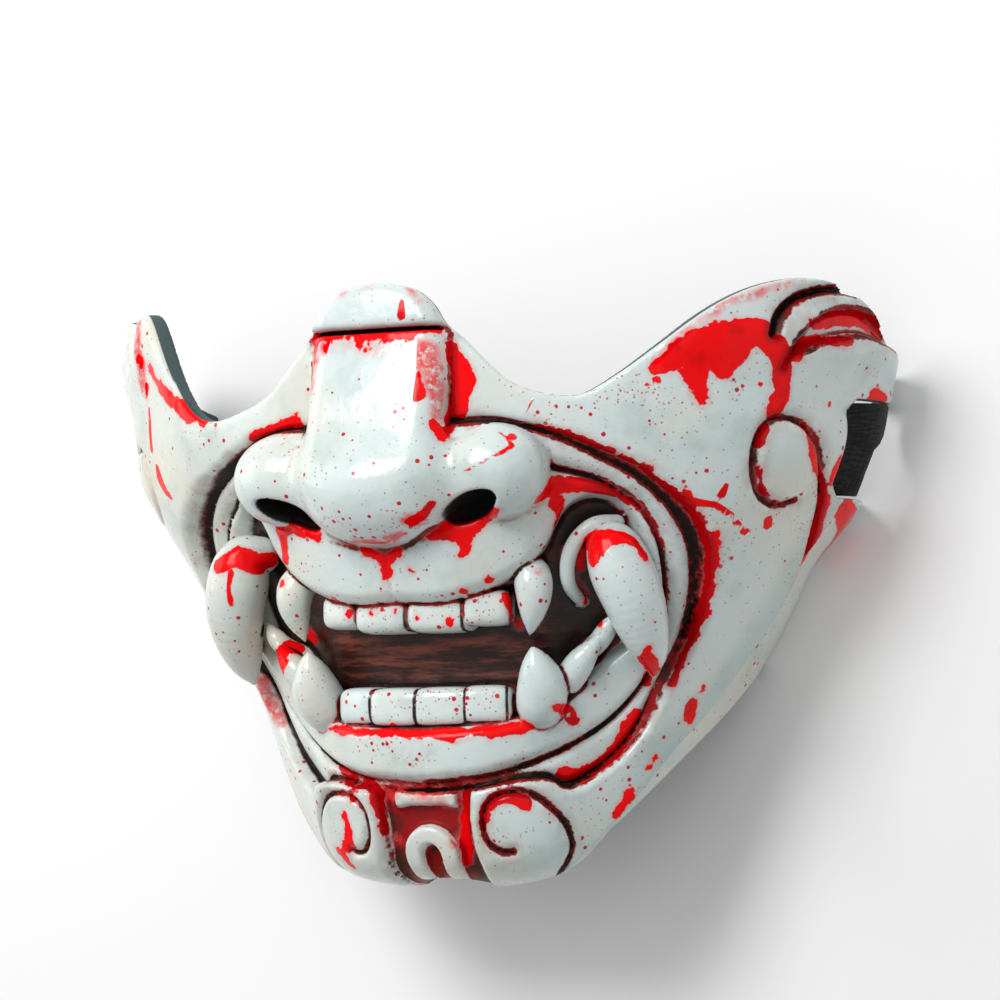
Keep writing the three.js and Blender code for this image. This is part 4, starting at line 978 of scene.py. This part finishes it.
def paint_level(points, groups):
    """Millimetres inside the nearest stroke, negative outside every stroke."""
    level = np.full(len(points), -FAR_MM)
    for path in (path for paths in groups.values() for path in paths):
        chain = np.array([[*surface_place(w, y), half] for w, y, half in path])
        if len(chain) == 1:
            chain = np.vstack([chain, chain + DOT_LENGTH])
        low = chain[:, :3].min(0) - STROKE_REACH
        high = chain[:, :3].max(0) + STROKE_REACH
        close = ((points > low) & (points < high)).all(1)
        inside = -capsules(*points[close].T, chain)
        level[close] = np.maximum(level[close], inside)
    return level


def thin_mesh(obj, triangles):
    """Collapses edges where the surface is flattest until so many triangles are left."""
    modifier = obj.modifiers.new("thin", "DECIMATE")
    modifier.ratio = triangles / (2 * len(obj.data.polygons))
    graph = bpy.context.evaluated_depsgraph_get()
    mesh = bpy.data.meshes.new_from_object(obj.evaluated_get(graph))
    obj.modifiers.clear()
    obj.data = mesh


def mesh_points(obj):
    flat = np.empty(len(obj.data.vertices) * 3, np.float32)
    obj.data.vertices.foreach_get("co", flat)
    return flat.reshape(-1, 3).astype(float) / MM - FRAME_SHIFT


def face_values(points, volume, axes):
    x, y, z = points.T
    w, flat_y, radius = face_place(x, y, z)
    outer = read_map("outer", w, flat_y)
    inner = read_map("inner", w, flat_y)
    # Nose and teeth stand above the carved lines of the face and don't take their paint.
    raised = radius > outer + ABOVE_FACE
    painted = {name: paint_level(points, strokes) for name, strokes in PAINT.items()}
    return {
        "groove": crowding(volume, axes, points, GROOVE_REACH),
        "hollow": crowding(volume, axes, points, HOLLOW_REACH),
        "arc": w * np.sign(x),
        "tooth_arc": w * np.sign(x) - np.where(y > MOUTH_MIDDLE_Y, UPPER_TEETH_SHIFT, 0),
        "edge": read_map("edge", w, flat_y),
        "back": (outer + inner) / 2 - radius,
        "mouth": read_map("mouth", w, flat_y),
        "seam": np.where(raised, -FAR_MM, read_map("seam", w, flat_y) - seam_narrowing(x, w, y)),
        "well": np.where(raised, -FAR_MM, read_map("well", w, flat_y)),
        "nostril": nostril(np.abs(x), y, z),
        "tooth": teeth_and_horns(x, y, z),
        "jaw": depth_in(w, flat_y, JAW_BAND),
        **painted,
    }


def make_mask():
    axes = grid_axes()
    volume = sample_volume(axes)
    points, index = net_vertices(volume, axes)
    mask = mesh_object("mask_dressed", settle(points), net_quads(volume, index))
    thin_mesh(mask, TRIANGLES)
    points = mesh_points(mask)
    for name, values in face_values(points, volume, axes).items():
        set_attribute(mask, name, values)
    shade_smooth(mask.data)
    return mask


# Strap ends and rivets.
def tab_places():
    """Arc length and height over the strap end, row by row."""
    rear_y, rear_w = np.array(TAB_REAR).T
    y = np.linspace(rear_y[0], rear_y[-1], WEAVE["rows"])
    rear = np.interp(y, rear_y, rear_w)
    across = np.linspace(0, 1, WEAVE["columns"])
    return mix(TAB["front"], rear[:, None], across[None, :]), np.repeat(y[:, None], WEAVE["columns"], 1)


def plate_faces(rows, columns):
    """Quads of a plate with a front and a back sheet, closed all round."""
    ids = np.arange(2 * rows * columns).reshape(2, rows, columns)
    front, back = ids
    sheets = [np.stack([s[:-1, :-1], s[:-1, 1:], s[1:, 1:], s[1:, :-1]], -1).reshape(-1, 4) for s in ids]
    ring_front = np.concatenate([front[0, :], front[1:, -1], front[-1, -2::-1], front[-2:0:-1, 0]])
    ring_back = np.concatenate([back[0, :], back[1:, -1], back[-1, -2::-1], back[-2:0:-1, 0]])
    walls = np.stack([ring_front, ring_back, np.roll(ring_back, -1), np.roll(ring_front, -1)], 1)
    return np.vstack([sheets[0], sheets[1][:, ::-1], walls])


def make_tab(word, side):
    w, y = tab_places()
    wall = read_map("inner", w, y)
    rib = WEAVE["rib"] * np.abs(np.sin(np.pi * w / WEAVE["rib_pitch"]))
    border = np.minimum.reduce([y - y.min(), y.max() - y, w - TAB["front"], w.max(1, keepdims=True) - w])
    rounding = edge_roll(border, TAB["border"], TAB["border_drop"])
    middle = wall - TAB["clearance"] + TAB_FLARE["height"] * rise(w, TAB_FLARE["from"], TAB_FLARE["to"])
    front = place_at(w, y, middle - rounding - rib)
    back = place_at(w, y, middle - TAB["thickness"] + rounding + rib)
    points = np.vstack([front.reshape(-1, 3), back.reshape(-1, 3)])
    faces = plate_faces(*w.shape)
    if side < 0:
        points[:, 0] *= -1
        faces = faces[:, ::-1]
    tab = mesh_object(f"strap_end_{word}", points, faces)
    shade_smooth(tab.data)
    return tab


def rivet_dome():
    """Points of a rivet head in its own frame, and its faces."""
    radius, height, sides = RIVET["radius"], RIVET["height"], RIVET["sides"]
    turn = np.linspace(0, 2 * np.pi, sides, endpoint=False)
    circle = np.stack([np.cos(turn), np.sin(turn)], 1)
    rings = [np.column_stack([r * radius * circle, np.full(sides, h * height)]) for r, h in RIVET_PROFILE]
    points = np.vstack([[[0, 0, height]], *rings, [[0, 0, 0]]])
    around = [(place, (place + 1) % sides) for place in range(sides)]
    faces = [(0, 1 + a, 1 + b) for a, b in around]
    last = 1 + (len(rings) - 1) * sides
    for start in range(1, last, sides):
        faces += [(start + a, start + sides + a, start + sides + b, start + b) for a, b in around]
    return points, faces + [(last + a, len(points) - 1, last + b) for a, b in around]


def wall_place(w, y, clearance=0.0):
    inner = read_map("inner", np.array([w]), np.array([y]))[0]
    return place_at(w, y, inner - clearance)


def rivet_seat():
    """Middle of the rivet's foot, and its directions across, up and outward."""
    w, y = RIVET["at"]
    along = wall_place(w + 1, y) - wall_place(w - 1, y)
    outward = np.array([-along[2], 0, along[0]])
    outward /= np.linalg.norm(outward)
    up = np.array([0.0, 1.0, 0.0])
    seat = wall_place(w, y, TAB["clearance"] + RIVET["gap"])
    return seat, np.array([np.cross(up, outward), up, outward])


def make_rivet(word, side):
    local, faces = rivet_dome()
    seat, axes = rivet_seat()
    points = seat + local @ axes
    if side < 0:
        points[:, 0] *= -1
        faces = [face[::-1] for face in faces]
    mesh = bpy.data.meshes.new(f"rivet_head_{word}")
    mesh.from_pydata(((points + FRAME_SHIFT) * MM).tolist(), [], faces)
    shade_smooth(mesh)
    return add_object(mesh.name, mesh)


# Shader building blocks.
class Graph:
    """A material's nodes, built by short calls that return output sockets."""

    def __init__(self, name):
        self.material = bpy.data.materials.new(name)
        self.material.use_nodes = True
        self.tree = self.material.node_tree
        self.shader = next(n for n in self.tree.nodes if n.type == "BSDF_PRINCIPLED")
        self.place = self.node("ShaderNodeTexCoord").outputs["Object"]

    def node(self, kind, **settings):
        node = self.tree.nodes.new(kind)
        for key, value in settings.items():
            setattr(node, key, value)
        return node

    def feed(self, socket, value):
        if isinstance(value, bpy.types.NodeSocket):
            self.tree.links.new(value, socket)
        elif isinstance(value, tuple) and len(value) == 3 and socket.type == "RGBA":
            socket.default_value = (*value, 1)
        else:
            socket.default_value = value

    def math(self, operation, a, b=0.0, clamp=False):
        node = self.node("ShaderNodeMath", operation=operation, use_clamp=clamp)
        self.feed(node.inputs[0], a)
        self.feed(node.inputs[1], b)
        return node.outputs[0]

    def chain(self, operation, first, *others):
        for other in others:
            first = self.math(operation, first, other)
        return first

    def add(self, *values):
        return self.chain("ADD", *values)

    def times(self, *values):
        return self.chain("MULTIPLY", *values)

    def most(self, *values):
        return self.chain("MAXIMUM", *values)

    def less(self, a, b):
        return self.math("SUBTRACT", a, b)

    def absolute(self, a):
        return self.math("ABSOLUTE", a)

    def ramp(self, value, low, high, start=0.0, end=1.0):
        node = self.node("ShaderNodeMapRange", interpolation_type="SMOOTHSTEP")
        for key, number in zip(("Value", "From Min", "From Max", "To Min", "To Max"),
                               (value, low, high, start, end)):
            self.feed(node.inputs[key], number)
        return node.outputs["Result"]

    def blend(self, share, a, b):
        node = self.node("ShaderNodeMix", data_type="RGBA")
        self.feed(node.inputs["Factor"], share)
        self.feed(node.inputs[6], a)
        self.feed(node.inputs[7], b)
        return node.outputs[2]

    def value(self, name):
        return self.node("ShaderNodeAttribute", attribute_name=name).outputs["Fac"]

    def stretched(self, scale):
        node = self.node("ShaderNodeMapping")
        self.feed(node.inputs["Vector"], self.place)
        node.inputs["Scale"].default_value = scale
        return node.outputs["Vector"]

    def noise(self, size_mm, detail=3.0, rough=0.55, place=None):
        """Cloudy noise about 0.5, with features of the given size."""
        node = self.node("ShaderNodeTexNoise")
        self.feed(node.inputs["Vector"], place or self.place)
        node.inputs["Scale"].default_value = 1 / (size_mm * MM) if place is None else 1 / size_mm
        node.inputs["Detail"].default_value = detail
        node.inputs["Roughness"].default_value = rough
        return node.outputs["Fac"]

    def waver(self, size_mm, detail, rough, width, middle=0.5):
        """Noise about zero, to make an edge uneven."""
        return self.times(self.less(self.noise(size_mm, detail, rough), middle), width)

    def dots(self, spacing_mm, smallest_mm, largest_mm, share):
        """1 inside scattered round dots; share says how many of the places have one."""
        cells = self.node("ShaderNodeTexVoronoi")
        self.feed(cells.inputs["Vector"], self.place)
        cells.inputs["Scale"].default_value = 1 / (spacing_mm * MM)
        chance = self.node("ShaderNodeSeparateColor")
        self.feed(chance.inputs[0], cells.outputs["Color"])
        present = self.less(share, chance.outputs[0])
        size = self.ramp(present, 0, 0.4, smallest_mm / spacing_mm, largest_mm / spacing_mm)
        size = self.times(size, self.math("GREATER_THAN", present, 0))
        gap = self.less(size, cells.outputs["Distance"])
        return self.ramp(gap, 0, 0.06)

    def bump(self, height, depth_mm, normal=None):
        node = self.node("ShaderNodeBump")
        node.inputs["Distance"].default_value = depth_mm * MM
        self.feed(node.inputs["Height"], height)
        if normal is not None:
            self.feed(node.inputs["Normal"], normal)
        return node.outputs["Normal"]

    def finish(self, colour, roughness, normal):
        self.feed(self.shader.inputs["Base Color"], colour)
        self.feed(self.shader.inputs["Roughness"], roughness)
        self.feed(self.shader.inputs["Normal"], normal)
        return self.material


# Colours of the finishes, in linear light.
COOL_WHITE = (0.61, 0.69, 0.68)
CREAM = (0.68, 0.64, 0.52)
TEAL_GREY = (0.33, 0.45, 0.44)
BLOOM_BROWN = (0.36, 0.21, 0.17)
DIRT_BROWN = (0.075, 0.018, 0.012)
BLACK_PAINT_AND_SHADE = (0.012, 0.006, 0.005)
OLD_RED = (0.30, 0.008, 0.008)
BLOOD_RED = (0.88, 0.002, 0.004)
BLOOD_DEEP = (0.42, 0.002, 0.004)
PINK = (0.72, 0.17, 0.17)
WASH_RED = (0.72, 0.030, 0.035)
SPECK_RED = (0.52, 0.012, 0.018)
MOUTH_BROWN = (0.028, 0.009, 0.007)
MOUTH_COPPER = (0.26, 0.060, 0.035)
# One dark coat: the rim green is painted light where the rim catches the light, the inside black is painted
# shade.
SHADED_INSIDE_BLACK = (0.010, 0.012, 0.013)
LIT_RIM_GREEN = (0.045, 0.075, 0.075)
WEBBING_BLACK = (0.005, 0.005, 0.006)
WEBBING_WORN = (0.018, 0.018, 0.020)
STEEL_GREY = (0.62, 0.63, 0.64)
STEEL_WORN = (0.40, 0.39, 0.38)
FLOOR_TONES = ((0.86, 0.86, 0.86), (0.90, 0.90, 0.90))

# Specks: spacing, smallest and largest radius and the size of dense patches in millimetres, the
# ramp from patch noise to density, strength and colour.
SPECKS = [
    (1.5, 0.17, 0.33, 22, (0.38, 0.66, 0.3, 0.8), 0.6, BLOOM_BROWN),
    (2.4, 0.16, 0.62, 26, (0.4, 0.66, 0.25, 0.55), 1.0, SPECK_RED),
    (1.2, 0.14, 0.3, 18, (0.48, 0.68, 0, 0.6), 0.75, SPECK_RED),
]


def porcelain(g):
    """Off-white coat with cream and teal-grey clouds, and teal-grey painted shade in the hollows and in a
    band inside the jaw line.
    """
    arc = g.value("arc")
    warm = g.add(g.ramp(g.noise(38, 2), 0.42, 0.68, 0, 0.55), g.ramp(arc, -20, -60, 0, 0.35))
    colour = g.blend(warm, COOL_WHITE, CREAM)
    cloudy = g.times(g.ramp(g.noise(14, 4, 0.6), 0.45, 0.75), 0.45)
    colour = g.blend(cloudy, colour, TEAL_GREY)
    # Teal-grey painted shade, stronger the deeper the hollow.
    colour = g.blend(g.ramp(g.value("hollow"), 0.54, 0.74, 0, 0.6), colour, TEAL_GREY)
    # Teal-grey painted shade in a band just inside the jaw line, on the cheeks.
    jaw = g.value("jaw")
    jaw_shade = g.times(g.ramp(jaw, -10, -1.5), g.ramp(jaw, 1, -0.5), g.ramp(arc, 45, 65, 0, 0.5))
    return g.blend(jaw_shade, colour, TEAL_GREY)


def carving_paint(g):
    """Shares of the dark red wash in the carving and of its black core; the black in the nostrils and where
    the chin's sunk field is deepest is painted shade in those holes.
    """
    uneven = g.waver(3.2, 3, 0.6, 0.10)
    depth = g.add(g.value("groove"), uneven)
    ragged = g.waver(1.4, 2, 0.5, 1.0)
    right_half = g.ramp(g.value("arc"), -30, -50)
    wander = g.times(g.add(ragged, g.times(uneven, 7)), g.ramp(g.value("arc"), -30, -50, 1, 0.25))
    seam = g.add(g.value("seam"), wander)
    well = g.add(g.value("well"), g.times(ragged, 0.8))
    dark_film = g.add(g.value("dark_film"), ragged)
    film = g.most(g.ramp(depth, 0.565, 0.625), g.ramp(seam, -0.3, 0.05), g.ramp(well, -0.1, 0.3),
                  g.ramp(dark_film, -0.4, 0.2))
    darker = g.add(depth, g.times(right_half, 0.11))
    seam = g.add(seam, g.times(right_half, 0.6))
    # The black in the nostrils and where the chin's sunk field is deepest is painted shade in the holes.
    core = g.most(g.ramp(darker, 0.64, 0.72), g.ramp(seam, 0.3, 0.7), g.ramp(well, 2.6, 3.4),
                  g.ramp(g.value("nostril"), 0.4, -0.05))
    return film, core


def stains(g, colour, film):
    """Brown bloom beside the carving and the dark red wash in it."""
    near_seam = g.ramp(g.value("seam"), -3.2, -0.2, 0, 0.36)
    near_groove = g.ramp(g.value("groove"), 0.515, 0.58, 0, 0.4)
    bloom = g.times(g.most(near_seam, near_groove), g.ramp(g.noise(5, 4, 0.65), 0.4, 0.62))
    colour = g.blend(bloom, colour, BLOOM_BROWN)
    tint = g.blend(g.ramp(g.noise(12, 2), 0.36, 0.54), DIRT_BROWN, OLD_RED)
    return g.blend(film, colour, tint)


def specks(g, colour):
    """Fine brown and red spatter, denser in patches and beside the strokes of SPATTER."""
    close = g.ramp(g.value("spatter"), -2.5, 0.5, 0, 0.6)
    for spacing, smallest, largest, patch, density, strength, tint in SPECKS:
        share = g.add(g.ramp(g.noise(patch, 2), *density), close)
        dots = g.dots(spacing, smallest, largest, share)
        colour = g.blend(g.times(dots, strength), colour, tint)
    return colour


def blood(g, colour):
    """Red washes, then glossy spatter with crisp, uneven edges, and how far the spatter covers."""
    ragged = g.waver(5.5, 2, 0.5, 3.4)
    fine = g.waver(1.3, 2, 0.5, 1.2, 0.4)
    level = g.add(g.value("blood"), ragged, fine)
    run = g.add(g.value("run"), g.times(fine, 0.25))
    cover = g.most(g.ramp(level, -0.4, -0.2), g.ramp(run, -0.2, 0.05))
    thin = g.add(g.value("wash"), ragged)
    stain = g.ramp(thin, -1.2, 1.0, 0, 0.92)
    patchy = g.times(stain, g.ramp(g.noise(1.8, 4, 0.7), 0.34, 0.52))
    washed = g.blend(g.ramp(g.noise(4.5, 3, 0.6), 0.42, 0.6), PINK, WASH_RED)
    colour = g.blend(patchy, colour, washed)
    halo = g.ramp(level, -1.5, -0.3, 0, 0.3)
    colour = g.blend(halo, colour, PINK)
    deep = g.most(g.ramp(g.value("groove"), 0.54, 0.66), g.ramp(g.value("seam"), -1.7, -0.2))
    worn = g.ramp(g.noise(8, 3, 0.6), 0.52, 0.72, 0, 0.55)
    tint = g.blend(g.most(deep, worn), BLOOD_RED, BLOOD_DEEP)
    return g.blend(cover, colour, tint), cover


def tooth_gaps(g, colour):
    """Dark lines between neighbouring teeth, painted shade in the gaps."""
    side = g.absolute(g.value("tooth_arc"))
    near_tooth = g.ramp(g.value("tooth"), 0.9, 0.3)
    between = g.times(near_tooth, g.ramp(side, 29.6, 29.2))
    for gap in TOOTH_GAPS:
        off = g.add(g.absolute(g.less(side, gap)), g.times(g.noise(2.0, 2), 0.5))
        line = g.times(g.ramp(off, 0.95, 0.5), between)
        colour = g.blend(line, colour, BLACK_PAINT_AND_SHADE)
    return colour


def mouth_floor_colour(g):
    streaks = g.noise(1.0, 5, 0.7, g.stretched((55, 420, 160)))
    colour = g.blend(g.ramp(streaks, 0.42, 0.66), MOUTH_BROWN, MOUTH_COPPER)
    # Painted shade: the mouth floor darkens towards its corners and beside the teeth.
    corner_shade = g.ramp(g.absolute(g.value("arc")), 34, 46, 0, 0.85)
    near_tooth = g.ramp(g.value("tooth"), 3.0, 0.8)
    return g.blend(g.most(near_tooth, corner_shade), colour, BLACK_PAINT_AND_SHADE)


def lining(g, colour):
    """Dark coat on the back and on the rim, and its cover; grey-green near the edge is painted light on the
    rim, black further in is painted shade.
    """
    back = g.ramp(g.add(g.value("back"), g.noise(4, 2)), 0.3, 0.8)
    rim = g.times(g.ramp(g.value("back"), -1.35, -1.0), g.ramp(g.value("edge"), 2.0, 1.3),
                  g.ramp(g.absolute(g.value("arc")), 30, 38))
    cover = g.most(back, rim)
    near_edge = g.add(g.value("edge"), g.times(g.noise(6, 2), 1.5))
    # Painted light near the edge, painted shade further into the lining.
    rim_light_and_inside_shade = g.blend(g.ramp(near_edge, 3.2, 4.6), LIT_RIM_GREEN, SHADED_INSIDE_BLACK)
    return g.blend(cover, colour, rim_light_and_inside_shade), cover


def roughness(g, film, in_mouth, wet, lined, washed):
    """Glossy coat and blood, duller in the dirt, the mouth and the washes and on the lining."""
    coat = g.ramp(g.noise(9, 3), 0.3, 0.7, 0.11, 0.24)
    rough = g.add(coat, g.times(film, 0.3), g.times(in_mouth, 0.15))
    rough = g.math("SUBTRACT", rough, g.times(wet, 0.08), clamp=True)
    rough = g.math("ADD", rough, g.times(lined, 0.45), clamp=True)
    return g.add(rough, g.times(washed, 0.25))


def shine(g, film, wet, washed):
    """Level of the clear reflection, less where the paint is coloured."""
    dull = g.add(g.times(wet, 0.33), g.times(film, 0.35), g.times(washed, 0.42))
    return g.math("SUBTRACT", 0.5, dull, clamp=True)


def mask_material():
    g = Graph("painted_resin")
    film, core = carving_paint(g)
    colour = stains(g, specks(g, tooth_gaps(g, porcelain(g))), film)
    in_mouth = g.times(g.ramp(g.value("mouth"), 0.6, 1.6), g.ramp(g.value("tooth"), 0.15, 0.9))
    colour = g.blend(in_mouth, colour, mouth_floor_colour(g))
    colour, wet = blood(g, colour)
    colour, lined = lining(g, g.blend(core, colour, BLACK_PAINT_AND_SHADE))
    washed = g.ramp(g.value("wash"), -1.0, 0.5)
    brush = g.bump(g.noise(2.4, 4, 0.6), 0.10)
    peel = g.bump(g.noise(7.0, 2, 0.5), 0.22, brush)
    raised = g.bump(wet, 0.16, peel)
    g.shader.inputs["IOR"].default_value = 1.48
    g.feed(g.shader.inputs["Specular IOR Level"], shine(g, film, wet, washed))
    return g.finish(colour, roughness(g, film, in_mouth, wet, lined, washed), raised)


def webbing_material():
    g = Graph("woven_webbing")
    cross = g.noise(1.0, 2, 0.5, g.stretched((300, 1600, 300)))
    thread = g.noise(0.35, 3, 0.6)
    colour = g.blend(g.ramp(cross, 0.4, 0.65), WEBBING_BLACK, WEBBING_WORN)
    height = g.add(cross, g.times(thread, 0.5))
    g.shader.inputs["Sheen Weight"].default_value = 0.08
    g.shader.inputs["Specular IOR Level"].default_value = 0.25
    return g.finish(colour, g.ramp(thread, 0.3, 0.7, 0.72, 0.92), g.bump(height, 0.15))


def steel_material():
    g = Graph("rivet_steel")
    scratch = g.noise(0.25, 4, 0.65)
    colour = g.blend(g.ramp(scratch, 0.35, 0.7), STEEL_GREY, STEEL_WORN)
    g.shader.inputs["Metallic"].default_value = 1.0
    return g.finish(colour, g.ramp(scratch, 0.3, 0.7, 0.24, 0.42), g.bump(scratch, 0.02))


# Floor, light and camera.
CAMERA = {"yaw": 26.0, "pitch": -3.0, "roll": -1.0, "distance": 900.0, "lens": 142.56,
          "right": -22.73, "up": -22.73}
FLOOR_HALF = 3.0
LIT_POINT = (0, 0, 0.05)
# Each lamp's direction in the camera's own axes, distance and size in metres, and watts.
LAMPS = {
    "key": ((-0.75, 0.75, 0.8), 0.9, 0.42, 6.4),
    "rim": ((-1.0, 0.25, -0.1), 0.8, 0.5, 1.6),
    "fill": ((0.9, 0.1, 0.8), 1.1, 0.8, 0.6),
    "front": ((-0.1, 0.3, 1.0), 1.3, 0.9, 1.6),
}
SKY_STRENGTH = 0.41


def camera_axes():
    yaw, pitch, roll = (math.radians(CAMERA[key]) for key in ("yaw", "pitch", "roll"))
    back = Vector((math.sin(yaw) * math.cos(pitch), math.sin(pitch), math.cos(yaw) * math.cos(pitch)))
    level = Vector((0, 1, 0)).cross(back).normalized()
    upright = back.cross(level)
    right = level * math.cos(roll) + upright * math.sin(roll)
    up = upright * math.cos(roll) - level * math.sin(roll)
    return right, up, back


def aimed(location, right, up, back):
    matrix = Matrix((right, up, back)).transposed().to_4x4()
    matrix.translation = location
    return matrix


def make_camera():
    right, up, back = camera_axes()
    place = back * CAMERA["distance"] - right * CAMERA["right"] - up * CAMERA["up"]
    place = (place + Vector(FRAME_SHIFT)) * MM
    data = bpy.data.cameras.new("camera")
    data.lens = CAMERA["lens"]
    data.sensor_width = 36
    camera = add_object("camera", data)
    camera.matrix_world = aimed(place, right, up, back)
    bpy.context.scene.camera = camera


def make_floor():
    mesh = bpy.data.meshes.new("floor")
    corners = [(x * FLOOR_HALF, y * FLOOR_HALF, 0) for x, y in ((-1, -1), (1, -1), (1, 1), (-1, 1))]
    mesh.from_pydata(corners, [], [(0, 1, 2, 3)])
    floor = add_object("floor", mesh)
    g = Graph("floor_white")
    tone = g.blend(g.noise(300, 2), *FLOOR_TONES)
    mesh.materials.append(g.finish(tone, 0.9, g.bump(g.noise(8, 2), 0.01)))


def make_light(name, towards, distance, size, power):
    """A soft square lamp, placed by its direction from the mask in the camera's own axes."""
    right, up, back = camera_axes()
    out = (right * towards[0] + up * towards[1] + back * towards[2]).normalized()
    side = up.cross(out).normalized()
    data = bpy.data.lights.new(name, "AREA")
    data.shape = "SQUARE"
    data.size = size
    data.energy = power
    lamp = add_object(name, data)
    lamp.matrix_world = aimed(Vector(LIT_POINT) + out * distance, side, out.cross(side), out)


def make_world(strength):
    world = bpy.data.worlds.new("studio")
    world.use_nodes = True
    sky = world.node_tree.nodes["Background"]
    sky.inputs["Color"].default_value = (1, 1, 1, 1)
    sky.inputs["Strength"].default_value = strength
    bpy.context.scene.world = world


def dress(piece, material, node):
    piece.data.materials.clear()
    piece.data.materials.append(material)
    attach(piece, "root")
    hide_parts(node)


def build():
    make_camera()
    make_floor()
    for name, lamp in LAMPS.items():
        make_light(name, *lamp)
    make_world(SKY_STRENGTH)
    bpy.context.scene.view_settings.view_transform = "Standard"
    dress(make_mask(), mask_material(), "mask_shell")
    webbing = webbing_material()
    steel = steel_material()
    for word, side in (("left", 1), ("right", -1)):
        dress(make_tab(word, side), webbing, f"strap_tab_{word}")
        dress(make_rivet(word, side), steel, f"rivet_{word}")


build()
